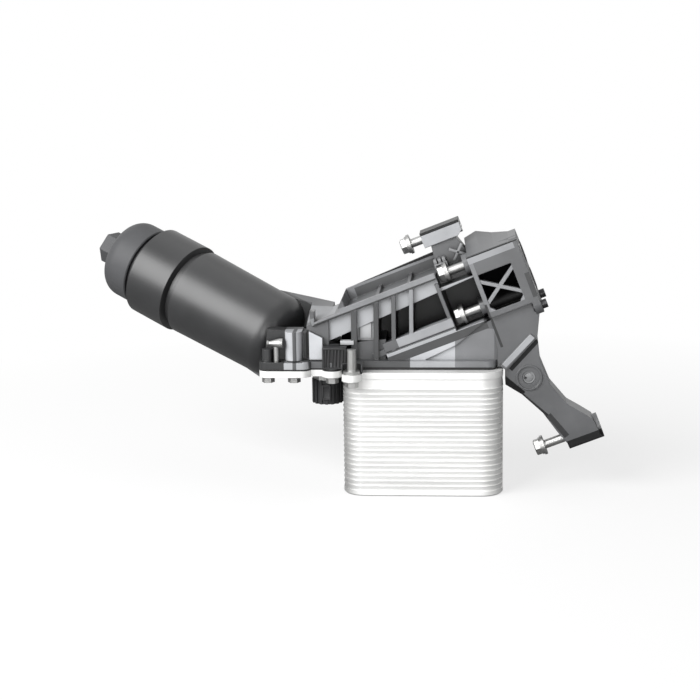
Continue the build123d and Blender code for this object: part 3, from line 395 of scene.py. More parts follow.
@dataclass(frozen=True)
class Moulded(Finish):
    """Moulded plastic: a little cloudy, with painted shade deep in its recesses, tool texture and soft
    edges.
    """

    shine: float = 0.5
    cloud: float = 0.18
    cloud_scale: float = 26.0
    cloud_stops: Range = (0.3, 0.72)
    # Painted shade in recesses: reach and rays of the occlusion, its darkest tone and the occlusion span it
    # maps.
    recess_reach: float = 0.022
    recess_rays: int = 6
    recess_shade_tone: float = 0.12
    recess_sky: Range = (0.12, 0.62)
    gloss_for_tone: float = 4.4
    zones: tuple[Zone | Barrel, ...] = ()

    def build(self) -> bpy.types.Material:
        """Make the material, with painted shade in its recesses and painted light and shade in its zones.
        Only the dark zones lose some of their shine.

        Returns:
            The finished material.
        """
        material, shader = principled(self.name)
        tree = material.node_tree
        clouds = object_noise(tree, self.cloud_scale, detail=4.0)
        dark = tuple(channel * (1.0 - self.cloud) for channel in self.colour)
        light = tuple(channel * (1.0 + self.cloud) for channel in self.colour)
        tint = two_tones(tree, clouds, self.cloud_stops, (dark, light))
        tone = self.recess_shade(tree)
        shader.inputs["Specular IOR Level"].default_value = self.shine
        if self.zones:
            patches = self.patches(tree)
            tone = arithmetic(tree, "MULTIPLY", tone, patches)
            gloss = arithmetic(tree, "MULTIPLY", patches, self.gloss_for_tone * self.shine)
            gloss = arithmetic(tree, "MINIMUM", gloss, self.shine)
            tree.links.new(gloss, shader.inputs["Specular IOR Level"])
        tree.links.new(toned(tree, tint, tone), shader.inputs["Base Color"])
        self.texture(tree, shader, clouds, object_noise(tree, self.grain.value, detail=2.0))
        return material

    def patches(self, tree: bpy.types.NodeTree) -> bpy.types.NodeSocket:
        """Lay the zones of painted light and shade over each other, the later ones on top.

        Args:
            tree: Node tree to add the nodes to.

        Returns:
            The tone of the topmost zone, or 1 outside them all.
        """
        tone: bpy.types.NodeSocket | None = None
        for zone in self.zones:
            lay = tree.nodes.new("ShaderNodeMix")
            lay.data_type = "FLOAT"
            lay.inputs["A"].default_value = 1.0
            lay.inputs["B"].default_value = zone.tone
            if tone is not None:
                tree.links.new(tone, lay.inputs["A"])
            tree.links.new(zone.mask(tree), lay.inputs["Factor"])
            tone = lay.outputs["Result"]
        return tone

    def recess_shade(self, tree: bpy.types.NodeTree) -> bpy.types.NodeSocket:
        """Paint shade on what lies deep between ribs and in pockets.

        Args:
            tree: Node tree to add the nodes to.

        Returns:
            The painted shade, from its darkest tone to 1 in the open.
        """
        open_sky = tree.nodes.new("ShaderNodeAmbientOcclusion")
        open_sky.samples = self.recess_rays
        open_sky.inputs["Distance"].default_value = self.recess_reach
        return span(tree, open_sky.outputs["AO"], self.recess_shade_tone, 1.0, *self.recess_sky)


@dataclass(frozen=True)
class Metal(Finish):
    """Bare or plated metal with fine streaks, faint stains and softened edges."""

    roughness: float = 0.3
    rough_range: Range = (0.75, 1.3)
    grain: Grain = Grain.ROLLED
    relief: float = 0.00002
    relief_strength: float = 0.5
    edge: float = 0.0003
    metallic: float = 1.0
    streak: Point = EVEN
    stain_scale: float = 34.0
    stain_stops: Range = (0.32, 0.6)
    stain_tone: float = 0.86
    shaded_ends: tuple[ShadedEnd, ...] = ()

    def build(self) -> bpy.types.Material:
        """Make the material.

        Returns:
            The finished material.
        """
        material, shader = principled(self.name)
        tree = material.node_tree
        shader.inputs["Metallic"].default_value = self.metallic
        stains = object_noise(tree, self.stain_scale, detail=5.0, stretch=self.streak)
        stained = tuple(channel * self.stain_tone for channel in self.colour)
        colour = two_tones(tree, stains, self.stain_stops, (stained, self.colour))
        for end in self.shaded_ends:
            colour = toned(tree, colour, end.shade(tree))
        tree.links.new(colour, shader.inputs["Base Color"])
        fine = object_noise(tree, self.grain.value, detail=3.0, stretch=self.streak)
        self.texture(tree, shader, fine, fine)
        return material


# Painted shade: the canister and its collar are darker than the rest of the moulding, so that their sides
# stay dark beside the highlight.
CANISTER_SHADE = Barrel(CANISTER_FOOT, CANISTER_AXIS, length=330.0, radius=41.6, tone=0.21)
COLLAR_FOOT: Point = tuple(foot + COLLAR_START * way for foot, way in zip(CANISTER_FOOT, CANISTER_AXIS))
COLLAR_SHADE = Barrel(COLLAR_FOOT, CANISTER_AXIS, length=200.0, radius=44.5, tone=0.21)

# Painted light and shade on the arm: a painted highlight on its rib, a painted shadow beside it and painted
# shade in the stretches below it.
ARM_LIGHT_AND_SHADE = (
    Barrel((98.1, -31.4, 144.8), (-0.683, 0.0, -0.731), 37.5, 2.7, 3.4),
    Barrel((102.5, -28.6, 139.9), (-0.667, 0.0, -0.745), 36.0, 2.0, 0.08),
    Barrel((71.0, -28.0, 105.3), (0.773, 0.0, -0.635), 24.0, 3.6, 0.06),
    Barrel((87.9, -28.0, 91.0), (0.759, 0.0, -0.652), 33.5, 1.7, 0.12),
    Barrel((112.5, -28.0, 71.8), (0.646, 0.0, -0.764), 26.0, 2.5, 0.2),
)

# Painted light and shade in patches on the foot, its bosses and the wall under the beam, and then along the
# foot's lower strip.
FOOT_LIGHT_AND_SHADE = (
    Zone((-147.0, -42.0, 115.0), (-123.6, 20.0, 153.0), 0.22),
    Zone((-123.6, -42.0, 115.0), (-89.4, -38.0, 122.2), 3.8),
    Zone((-123.6, -39.5, 122.4), (-107.4, -20.0, 149.0), 4.4),
    Zone((-115.8, -43.0, 115.0), (-112.4, -20.0, 149.0), 0.8),
    Zone((-105.0, -40.0, 122.4), (-102.0, -20.0, 149.0), 0.15),
    Zone((-101.9, -31.4, 122.4), (-89.2, -30.6, 149.0), 5.6),
    Zone((-89.4, -40.5, 115.0), (-67.0, -27.0, 136.0), 0.16),
    Zone((-58.0, -26.5, 122.0), (-33.0, -23.0, 141.0), 0.8),
    Zone((-11.0, -28.5, 115.0), (29.0, -25.5, 150.0), 4.6),
    Zone((29.0, -28.5, 115.0), (64.0, -25.5, 150.0), 1.8),
    Zone((-60.6, -34.8, 116.4), (-11.0, -28.5, 122.3), 0.55),
    Zone((-11.0, -34.8, 116.4), (29.0, -28.5, 122.3), 3.2),
    Zone((29.0, -34.8, 116.4), (67.0, -28.5, 122.3), 1.6),
    Zone((-60.6, -34.8, 115.0), (67.0, -33.0, 116.4), 0.08),
    *ARM_LIGHT_AND_SHADE,
)

# Painted shade in the insides of the ribbed frame and of the crossed window.
DEEP_SHADE = (
    Zone((-96.0, -22.0, -24.0), (57.0, 24.0, 17.5), 0.12, tilted=True),
    Zone((57.0, -27.0, -20.0), (95.0, 26.0, 21.0), 0.04, tilted=True),
    Zone((59.6, -32.7, -18.0), (91.4, -26.0, -15.6), 0.04, tilted=True),
    Zone((59.6, -32.7, 18.6), (91.4, -26.0, 20.0), 0.04, tilted=True),
    Zone((90.6, -32.7, -16.0), (92.0, -26.0, 19.0), 0.04, tilted=True),
)

# Painted light and shade on the frame's rails, its deck, its saddle, the edges of its box and the end of the
# arm.
FRAME_LIGHT_AND_SHADE = (
    Zone((-98.0, -24.5, 4.0), (58.0, -23.5, 28.3), 3.5, tilted=True),
    Zone((-95.0, -28.6, 28.2), (50.0, -24.6, 34.6), 2.1, tilted=True),
    Zone((-95.0, -28.6, 27.8), (24.0, -27.2, 29.5), 0.25, tilted=True),
    Zone((-42.0, -28.6, -30.0), (52.0, -25.0, -22.4), 0.42, tilted=True),
    Zone((-44.0, -28.6, -19.0), (52.0, -16.0, -9.0), 0.9, tilted=True),
    Zone((-42.0, -28.6, -22.4), (50.0, -16.0, -19.0), 3.6, tilted=True),
    Zone((-29.0, -28.6, -17.7), (50.0, -16.0, -9.0), 3.0, tilted=True),
    Zone((-66.0, 12.0, 30.0), (-53.5, 27.0, 45.0), 2.6, tilted=True),
    Zone((-68.0, 12.0, 30.0), (-64.5, 27.0, 48.0), 0.1, tilted=True),
    Zone((-53.5, 12.0, 31.6), (50.0, 27.0, 40.0), 0.6, tilted=True),
    Zone((-66.0, 12.0, 40.0), (50.0, 27.0, 42.4), 2.2, tilted=True),
    Zone((-66.0, 12.0, 42.4), (50.0, 27.0, 47.0), 0.08, tilted=True),
    Zone((20.0, 7.5, 53.4), (62.0, 8.5, 64.4), 3.8, tilted=True),
    Zone((20.0, 7.5, 64.4), (62.0, 33.0, 67.6), 0.10, tilted=True),
    Zone((55.0, -33.6, 35.9), (103.5, -31.0, 37.4), 0.12, tilted=True),
    Zone((56.0, -33.6, 30.5), (99.0, -32.0, 35.9), 2.8, tilted=True),
    Zone((55.5, -33.6, -16.0), (59.8, -32.0, 30.5), 1.8, tilted=True),
    Zone((59.8, -33.2, -15.9), (91.2, -27.2, 18.9), 2.4, tilted=True),
    Zone((98.6, -33.6, -17.0), (104.0, -32.0, 6.0), 0.3, tilted=True),
    Zone((55.6, -33.6, -50.0), (58.0, -26.0, -8.0), 0.2, tilted=True),
    Zone((76.0, -30.0, -168.0), (118.0, 0.0, -151.6), 0.1, tilted=True),
)

# Painted light and shade on the fronts of the four upright ribs, and painted light on the web between the
# frame and the canister.
RIB_LIGHT_AND_SHADE = (
    Zone((-64.0, -28.6, 122.0), (-58.4, -27.6, 166.2), 0.45),
    Zone((-43.8, -28.6, 122.0), (-39.0, -27.6, 173.6), 0.45),
    Zone((-27.8, -28.6, 140.0), (-23.6, -27.6, 179.6), 0.8),
    Zone((-11.9, -28.6, 146.2), (-7.9, -27.6, 185.6), 2.4),
)
TAIL_WEB_LIGHT = Zone((-126.0, -20.0, 150.0), (-79.0, 24.0, 192.0), 2.5)

HOUSING_BLACK = Moulded(
    "housing_black",
    (0.098, 0.100, 0.104),
    roughness=0.38,
    shine=0.6,
    zones=(TAIL_WEB_LIGHT, CANISTER_SHADE, COLLAR_SHADE, *FOOT_LIGHT_AND_SHADE, *DEEP_SHADE, *FRAME_LIGHT_AND_SHADE, *RIB_LIGHT_AND_SHADE),
)
CAP_BLACK = Moulded("cap_black", (0.062, 0.063, 0.066), roughness=0.5, shine=0.28)
PLUG_BLACK = Moulded("plug_black", (0.012, 0.012, 0.013), roughness=0.55, edge=0.0003)
INNER_GREY = Moulded("inner_grey", (0.09, 0.09, 0.095), roughness=0.5, edge=0.0003)
DISC_GREY = Moulded("disc_grey", (0.12, 0.12, 0.12), roughness=0.5, edge=0.0003)
SEAL_BLACK = Moulded("seal_black", (0.014, 0.014, 0.014), roughness=0.7, grain=Grain.CAST, edge=0.0002)
PAPER_TAN = Moulded(
    "paper_tan", (0.62, 0.53, 0.34), roughness=0.9, cloud=0.1, grain=Grain.WOVEN, edge=0.0001
)
COOLER_BRIGHT = Metal(
    "cooler_bright",
    (0.90, 0.90, 0.89),
    roughness=0.46,
    streak=(0.25, 0.25, 3.0),
    metallic=0.4,
    # Painted shade on both ends of the cooler.
    shaded_ends=(ShadedEnd(-69.0, -56.0, 0.45), ShadedEnd(67.0, 50.0, 0.85)),
)
PLATE_BRIGHT = Metal(
    "plate_bright", (0.84, 0.84, 0.83), roughness=0.4, streak=(0.3, 1.0, 1.0), metallic=0.25
)
ZINC = Metal("zinc", (0.40, 0.40, 0.395), roughness=0.4, grain=Grain.CAST)
SLEEVE_STEEL = Metal("sleeve_steel", (0.66, 0.66, 0.65), roughness=0.3)
DARK_STEEL = Metal("dark_steel", (0.06, 0.06, 0.062), roughness=0.4)
SPRING_STEEL = Metal("spring_steel", (0.5, 0.5, 0.5), roughness=0.35)
PIN_BRASS = Metal("pin_brass", (0.8, 0.63, 0.3), roughness=0.25)
# Black and lit grey copies of the moulding, for pieces that stand for painted shade and painted light.
SHADE_BLACK = Moulded("shade_black", (0.006, 0.006, 0.007), roughness=0.8, shine=0.05, edge=0.0003)
LIT_GREY = Moulded("lit_grey", (0.42, 0.425, 0.435), roughness=0.45, edge=0.0004)
PAD_GREY = Moulded("pad_grey", (0.21, 0.213, 0.218), roughness=0.42, edge=0.0004)

BOLTS = ("upper_bolt", "lower_bolt", "top_bolt", "arm_bolt")

DRESS: dict[str, Finish] = {
    "housing": HOUSING_BLACK,
    "screw_cap": CAP_BLACK,
    "cap_o_ring": SEAL_BLACK,
    "foot_gasket": SEAL_BLACK,
    "sensor_washer": SEAL_BLACK,
    "flange_seals": SEAL_BLACK,
    "sensor_shroud": PLUG_BLACK,
    "standpipe": INNER_GREY,
    "spring_cup": INNER_GREY,
    "bypass_poppet": INNER_GREY,
    "element_core": INNER_GREY,
    "element_top_disc": DISC_GREY,
    "element_bottom_disc": DISC_GREY,
    "filter_pleats": PAPER_TAN,
    "cooler_stack": COOLER_BRIGHT,
    "base_plate": PLATE_BRIGHT,
    "sensor_pins": PIN_BRASS,
    "bypass_spring": SPRING_STEEL,
    "lug_sleeve": SLEEVE_STEEL,
    "arm_sleeve": SLEEVE_STEEL,
    "flange_sleeves": SLEEVE_STEEL,
    "flange_dowels": DARK_STEEL,
}


@dataclass
class Wardrobe:
    """Keeps the finished materials and gives every carried-over CAD node its own."""

    nodes: dict[str, bpy.types.Object]
    made: dict[str, bpy.types.Material] = field(default_factory=dict)

    def material(self, finish: Finish) -> bpy.types.Material:
        """Give the material of a finish, made once.

        Args:
            finish: The finish.

        Returns:
            Its material.
        """
        if finish.name not in self.made:
            self.made[finish.name] = finish.build()
        return self.made[finish.name]

    def dress(self) -> None:
        """Assign a finish to each node; whatever isn't listed is zinc-plated steel."""
        for name, node in self.nodes.items():
            finish = DRESS.get(name, ZINC)
            node.data.materials.clear()
            node.data.materials.append(self.material(finish))
            LOG.info("dressed %s in %s", name, finish.name)


def deselect() -> None:
    """Leave nothing selected."""
    bpy.ops.object.select_all(action="DESELECT")


def facing(way: Point) -> Callable[[bpy.types.MeshPolygon], bool]:
    """Make a test for faces that look one way.

    Args:
        way: Unit vector that they look along.

    Returns:
        The test.
    """
    direction = Vector(way)
    return lambda face: face.normal.dot(direction) > SAME_WAY


@dataclass
class Workpiece:
    """One new piece, shaped with operators as by hand. Sizes are in millimetres."""

    name: str
    piece: bpy.types.Object | None = None

    def adopt(self) -> None:
        """Take the primitive that was just added as this piece."""
        self.piece = bpy.context.object
        self.piece.name = self.name
        self.piece.data.name = self.name

    def block(self, low: Point, high: Point, tilted: bool = False, lean: float = 0.0) -> Workpiece:
        """Add a block between two corners.

        Args:
            low: Lowest corner.
            high: Highest corner.
            tilted: Whether the corners are along, depth and rise in the ribbed frame.
            lean: Degrees that the block is then turned about its middle.

        Returns:
            This workpiece.
        """
        centre = Vector([0.5 * MM * (a + b) for a, b in zip(low, high)])
        size = [MM * (b - a) for a, b in zip(low, high)]
        turn = math.radians(lean)
        if tilted:
            x, y, z = centre
            centre = FRAME_ORIGIN + ALONG_BOLTS * x + Vector((0.0, y, 0.0)) + FRAME_UP * z
            turn -= TILT
        deselect()
        bpy.ops.mesh.primitive_cube_add(size=1.0, location=centre, rotation=(0.0, turn, 0.0), scale=size)
        self.adopt()
        return self

    def rod(self, foot: Point, way: Point, length: float, radius: float, sides: int = 40) -> Workpiece:
        """Add a round bar.

        Args:
            foot: Middle of its first end.
            way: Unit vector along it.
            length: Length.
            radius: Radius.
            sides: Number of flats of the round.

        Returns:
            This workpiece.
        """
        direction = Vector(way)
        centre = Vector(foot) * MM + direction * 0.5 * length * MM
        turn = direction.to_track_quat("Z", "Y").to_euler()
        deselect()
        bpy.ops.mesh.primitive_cylinder_add(
            vertices=sides, radius=radius * MM, depth=length * MM, location=centre, rotation=turn
        )
        self.adopt()
        return self

    def settle(self) -> Workpiece:
        """Put the place, turn and size into the mesh.

        Returns:
            This workpiece.
        """
        self.activate()
        bpy.ops.object.transform_apply(location=True, rotation=True, scale=True)
        return self

    def activate(self) -> None:
        """Make this the only selected object."""
        deselect()
        self.piece.select_set(True)
        bpy.context.view_layer.objects.active = self.piece

    def pick(self, wanted: Callable[[bpy.types.MeshPolygon], bool]) -> Workpiece:
        """Enter edit mode with some faces selected.

        Args:
            wanted: Says of a face whether it is taken.

        Returns:
            This workpiece.
        """
        self.activate()
        bpy.ops.object.mode_set(mode="EDIT")
        bpy.ops.mesh.select_mode(type="FACE")
        bpy.ops.mesh.select_all(action="DESELECT")
        bpy.ops.object.mode_set(mode="OBJECT")
        for face in self.piece.data.polygons:
            face.select = wanted(face)
        bpy.ops.object.mode_set(mode="EDIT")
        return self

    def step(self, margin: float, rise: float) -> Workpiece:
        """Inset the selected faces and push them out or in.

        Args:
            margin: Width of the frame that is left.
            rise: How far the face moves outwards.

        Returns:
            This workpiece, in edit mode.
        """
        bpy.ops.mesh.inset(thickness=margin * MM, depth=0.0)
        bpy.ops.mesh.extrude_region_shrink_fatten(TRANSFORM_OT_shrink_fatten={"value": rise * MM})
        return self

    def soften(self, width: float) -> Workpiece:
        """Round the sharp edges and leave edit mode.

        Args:
            width: Width of the rounding.

        Returns:
            This workpiece.
        """
        if bpy.context.mode != "OBJECT":
            bpy.ops.object.mode_set(mode="OBJECT")
        self.activate()
        rounding = self.piece.modifiers.new("rounding", "BEVEL")
        rounding.width = width * MM
        rounding.segments = ROUNDING_STEPS
        rounding.limit_method = "ANGLE"
        rounding.angle_limit = SHARP
        bpy.ops.object.modifier_apply(modifier=rounding.name)
        return self

    def join(self, others: list[Workpiece]) -> Workpiece:
        """Take other workpieces into this one.

        Args:
            others: The workpieces that end here.

        Returns:
            This workpiece.
        """
        self.activate()
        for other in others:
            other.piece.select_set(True)
        bpy.ops.object.join()
        return self

    def hand_over(self, finish: Finish, body: str, wardrobe: Wardrobe) -> None:
        """Close the piece: normals outwards, smooth rounds, its finish and its body.

        Args:
            finish: Finish that it gets.
            body: Body that it rides on.
            wardrobe: Keeper of the finished materials.
        """
        self.activate()
        bpy.ops.object.mode_set(mode="EDIT")
        bpy.ops.mesh.select_all(action="SELECT")
        bpy.ops.mesh.normals_make_consistent(inside=False)
        bpy.ops.object.mode_set(mode="OBJECT")
        bpy.ops.object.shade_smooth_by_angle(angle=SHARP)
        self.piece.data.materials.clear()
        self.piece.data.materials.append(wardrobe.material(finish))
        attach(self.piece, body)
        LOG.info("made %s", self.name)


@dataclass(frozen=True)
class Panel:
    """A block, in millimetres, whose one face has a margin around a raised or sunk middle."""

    name: str
    low: Point
    high: Point
    margin: float
    rise: float
    finish: Finish
    rounding: float = 0.4
    looks: Point = FORWARDS
    tilted: bool = False

    def model(self) -> Workpiece:
        """Model the panel.

        Returns:
            Its workpiece.
        """
        piece = Workpiece(self.name).block(self.low, self.high, self.tilted)
        return piece.settle().pick(facing(self.looks)).step(self.margin, self.rise).soften(self.rounding)


@dataclass
class FootShadeCover:
    """Black ribbed cover in front of the tail of the foot: a dark piece that stands for painted shade on the
    block there.
    """

    wardrobe: Wardrobe
    left: float = -89.0
    right: float = -67.6
    front: float = -42.8
    back: float = -30.8
    low: float = 116.3
    high: float = 135.6
    frame: float = 1.6
    sunk: float = 1.0
    rounding: float = 0.35
    ribs: int = 6
    rib_width: float = 1.1
    rib_setback: float = 0.15
    rib_root: float = 0.4
    rib_clearance: float = 0.8
    rib_rounding: float = 0.25

    def build(self) -> None:
        """Model the cover: a framed, sunk front with upright ribs in it."""
        cover = Panel(
            "foot_cover",
            (self.left, self.front, self.low),
            (self.right, self.back, self.high),
            margin=self.frame,
            rise=-self.sunk,
            finish=PLUG_BLACK,
            rounding=self.rounding,
        )
        inner_left = self.left + self.frame
        pitch = (self.right - self.frame - inner_left) / self.ribs
        whole = cover.model()
        whole.join([self.rib(inner_left + pitch * (number + 0.5)) for number in range(self.ribs)])
        whole.hand_over(cover.finish, "housing", self.wardrobe)

    def rib(self, middle: float) -> Workpiece:
        """Model one upright rib.

        Args:
            middle: Its place from left to right.

        Returns:
            Its workpiece.
        """
        bar = Workpiece("foot_cover_rib").block(
            (middle - 0.5 * self.rib_width, self.front + self.rib_setback, self.low + self.rib_clearance),
            (
                middle + 0.5 * self.rib_width,
                self.front + self.sunk + self.rib_root,
                self.high - self.rib_clearance,
            ),
        )
        return bar.settle().soften(self.rib_rounding)


@dataclass
class FrameInfill:
    """Webs behind the first bays of the ribbed frame, in lit grey as painted light and in black as painted
    shade, and a black sheet at the back of its crossed window as painted shade.
    """

    wardrobe: Wardrobe
    panels: tuple[Panel, ...] = (
        Panel("bay_web", (-58.8, -21.6, 138.4), (-43.4, -18.6, 157.0), 2.4, 1.2, LIT_GREY),
        Panel("tail_gusset", (-74.0, -9.0, 121.6), (-60.5, -6.0, 153.0), 1.5, -0.8, SHADE_BLACK),
        Panel(
            "tail_ledge", (-73.5, -30.4, 136.0), (-61.5, -24.2, 139.7), 1.2, -0.6, LIT_GREY, looks=UPWARDS
        ),
        # A black sheet that stands for painted shade at the back of the window.
        Panel(
            "window_shade_sheet", (60.3, 15.6, -15.7), (90.7, 16.8, 18.7), 1.0, -0.4, SHADE_BLACK, 0.2, tilted=True
        ),
    )

    def build(self) -> None:
        """Model the webs and the window's back."""
        for panel in self.panels:
            panel.model().hand_over(panel.finish, "housing", self.wardrobe)


@dataclass
class ArmPad:
    """Sunk disc with a stepped middle that closes the pocket in the arm's ring, and its small gate mark."""

    wardrobe: Wardrobe
    place: Point = (95.0, -27.1, 106.0)
    radius: float = 5.8
    depth: float = 3.0
    rim: float = 1.5
    rim_rise: float = -0.5
    inner_rim: float = 0.6
    inner_rise: float = 0.25
    rounding: float = 0.15
    gate_offset: tuple[float, float] = (-3.2, -0.4)
    gate_proud: float = 0.25
    gate_depth: float = 1.2
    gate_radius: float = 1.0
    gate_sides: int = 20
    gate_rim: float = 0.35
    gate_rise: float = -0.3
    gate_rounding: float = 0.1

    def build(self) -> None:
        """Model the disc and the mark of the gate."""
        disc = Workpiece("arm_pad").rod(self.place, BACKWARDS, self.depth, self.radius)
        disc.settle().pick(facing(FORWARDS)).step(self.rim, self.rim_rise)
        disc.step(self.inner_rim, self.inner_rise).soften(self.rounding)
        disc.hand_over(PAD_GREY, "housing", self.wardrobe)
        x, y, z = self.place
        aside, up = self.gate_offset
        gate_place = (x + aside, y - self.gate_proud, z + up)
        gate = Workpiece("arm_gate")
        gate.rod(gate_place, BACKWARDS, self.gate_depth, self.gate_radius, self.gate_sides)
        gate.settle().pick(facing(FORWARDS)).step(self.gate_rim, self.gate_rise).soften(self.gate_rounding)
        gate.hand_over(PLUG_BLACK, "housing", self.wardrobe)


@dataclass
class DeckFittings:
    """Small moulded bits on the deck beside the saddle: a clip with three prongs, and a crossed rib.

    Their corners are along, in depth and up the ribbed frame.
    """

    wardrobe: Wardrobe
    clip_low: Point = (25.0, -3.4, 30.6)
    clip_high: Point = (37.0, 8.0, 41.0)
    clip_margin: float = 1.6
    clip_rise: float = -1.2
    slot_depth: float = 4.0
    prong_share: float = 0.26
    prong_inset: float = 0.4
    prong_setback: float = 0.6
    prong_root: float = 0.5
    rounding: float = 0.5
    cross_place: Point = (49.0, 3.0, 40.0)
    blade: Point = (17.0, 3.0, 2.6)
    cross_angles: tuple[float, float] = (38.0, -46.0)

    def build(self) -> None:
        """Model the clip and the cross."""
        far, back, top = self.clip_high
        foot = Panel(
            "deck_clip",
            self.clip_low,
            (far, back, top - self.slot_depth),
            margin=self.clip_margin,
            rise=self.clip_rise,
            finish=PAD_GREY,
            tilted=True,
        )
        foot.model().join(self.prongs()).hand_over(foot.finish, "housing", self.wardrobe)
        first, second = (self.cross_blade(angle) for angle in self.cross_angles)
        first.join([second]).hand_over(PAD_GREY, "housing", self.wardrobe)

    def prongs(self) -> list[Workpiece]:
        """Model the clip's three prongs.

        Returns:
            Their workpieces.
        """
        along, depth, _ = self.clip_low
        far, back, top = self.clip_high
        width = (far - along) * self.prong_share
        foot = top - self.slot_depth - self.prong_root
        made = []
        for left in (along + self.prong_inset, 0.5 * (along + far - width), far - width - self.prong_inset):
            prong = Workpiece("deck_clip_prong").block(
                (left, depth + self.prong_setback, foot),
                (left + width, back - self.prong_setback, top),
                tilted=True,
            )
            made.append(prong.settle().soften(self.rounding))
        return made

    def cross_blade(self, angle: float) -> Workpiece:
        """Model one of the two ribs that cross.

        Args:
            angle: Degrees that it leans.

        Returns:
            Its workpiece.
        """
        low = tuple(middle - 0.5 * side for middle, side in zip(self.cross_place, self.blade))
        high = tuple(middle + 0.5 * side for middle, side in zip(self.cross_place, self.blade))
        blade = Workpiece("deck_cross").block(low, high, tilted=True, lean=angle)
        return blade.settle().soften(self.rounding)


@dataclass
class PlugLatch:
    """Catch on the front of the sensor's plug."""

    wardrobe: Wardrobe
    sensor: tuple[float, float] = (-87.5, -6.0)
    shroud_radius: float = 13.0
    width: float = 8.0
    low: float = 83.0
    high: float = 97.0
    proud: float = 3.0
    root: float = 1.5
    margin: float = 1.4
    rise: float = -0.8
    rounding: float = 0.5

    def build(self) -> None:
        """Model the catch: a tongue with a sunk thumb rest."""
        x, y = self.sensor
        front = y - self.shroud_radius
        latch = Panel(
            "plug_latch",
            (x - 0.5 * self.width, front - self.proud, self.low),
            (x + 0.5 * self.width, front + self.root, self.high),
            margin=self.margin,
            rise=self.rise,
            finish=PLUG_BLACK,
            rounding=self.rounding,
        )
        latch.model().hand_over(latch.finish, "housing", self.wardrobe)


@dataclass
class BoltThread:
    """Rolled thread at the end of one captive bolt. Its flanks are given as shares of the pitch."""

    wardrobe: Wardrobe
    bolt: str
    pitch: float = 1.25
    length: float = 20.0
    core: float = 3.55
    crest: float = 4.2
    root_share: float = 0.42
    crest_share: float = 0.12
    bare_tip: float = 1.2
    corners: int = 4
    steps: int = 24
    end_depth: float = 0.05

    def build(self) -> None:
        """Model the thread: one ridge turned up the shank, with both ends closed."""
        start = self.tip() - ALONG_BOLTS * (self.length + self.bare_tip) * MM
        deselect()
        bpy.ops.mesh.primitive_circle_add(
            vertices=self.corners, radius=0.5 * self.pitch * MM, fill_type="NGON"
        )
        ridge = Workpiece(f"{self.bolt}_thread")
        ridge.adopt()
        self.shape(ridge.piece)
        screw = ridge.piece.modifiers.new("thread", "SCREW")
        screw.axis = "Z"
        screw.angle = math.tau
        screw.steps = self.steps
        screw.render_steps = self.steps
        screw.screw_offset = self.pitch * MM
        screw.iterations = int(self.length / self.pitch)
        screw.use_merge_vertices = True
        ridge.activate()
        bpy.ops.object.modifier_apply(modifier=screw.name)
        ridge.piece.location = start
        ridge.piece.rotation_euler = ALONG_BOLTS.to_track_quat("Z", "Y").to_euler()
        ridge.settle()
        bpy.ops.object.mode_set(mode="EDIT")
        bpy.ops.mesh.select_all(action="SELECT")
        bpy.ops.mesh.fill_holes(sides=self.corners)
        bpy.ops.object.mode_set(mode="OBJECT")
        ridge.hand_over(ZINC, self.bolt, self.wardrobe)

    def shape(self, profile: bpy.types.Object) -> None:
        """Turn the four-cornered start into the ridge's section.

        Args:
            profile: The section, in the plane through the bolt's axis.
        """
        root = self.root_share * self.pitch
        flat = self.crest_share * self.pitch
        corners = ((self.core, -root), (self.crest, -flat), (self.crest, flat), (self.core, root))
        for point, (radius, height) in zip(profile.data.vertices, corners):
            point.co = (radius * MM, 0.0, height * MM)

    def tip(self) -> Vector:
        """Find the middle of the bolt's far end.

        Returns:
            Its place in metres.
        """
        corners = [corner.co for corner in self.wardrobe.nodes[self.bolt].data.vertices]
        reach = max(corner.dot(ALONG_BOLTS) for corner in corners)
        end = [corner for corner in corners if reach - corner.dot(ALONG_BOLTS) < self.end_depth * MM]
        return sum(end, Vector()) / len(end)


@dataclass(frozen=True)
class Lamp:
    """One square area lamp, in metres and watts."""

    name: str
    place: Point
    aim: Point
    size: float
    power: float

    def hang(self) -> None:
        """Add the lamp to the scene."""
        data = bpy.data.lights.new(self.name, "AREA")
        data.size = self.size
        data.energy = self.power
        lamp = bpy.data.objects.new(self.name, data)
        lamp.location = self.place
        lamp.rotation_euler = (Vector(self.aim) - Vector(self.place)).to_track_quat("-Z", "Y").to_euler()
        bpy.context.scene.collection.objects.link(lamp)


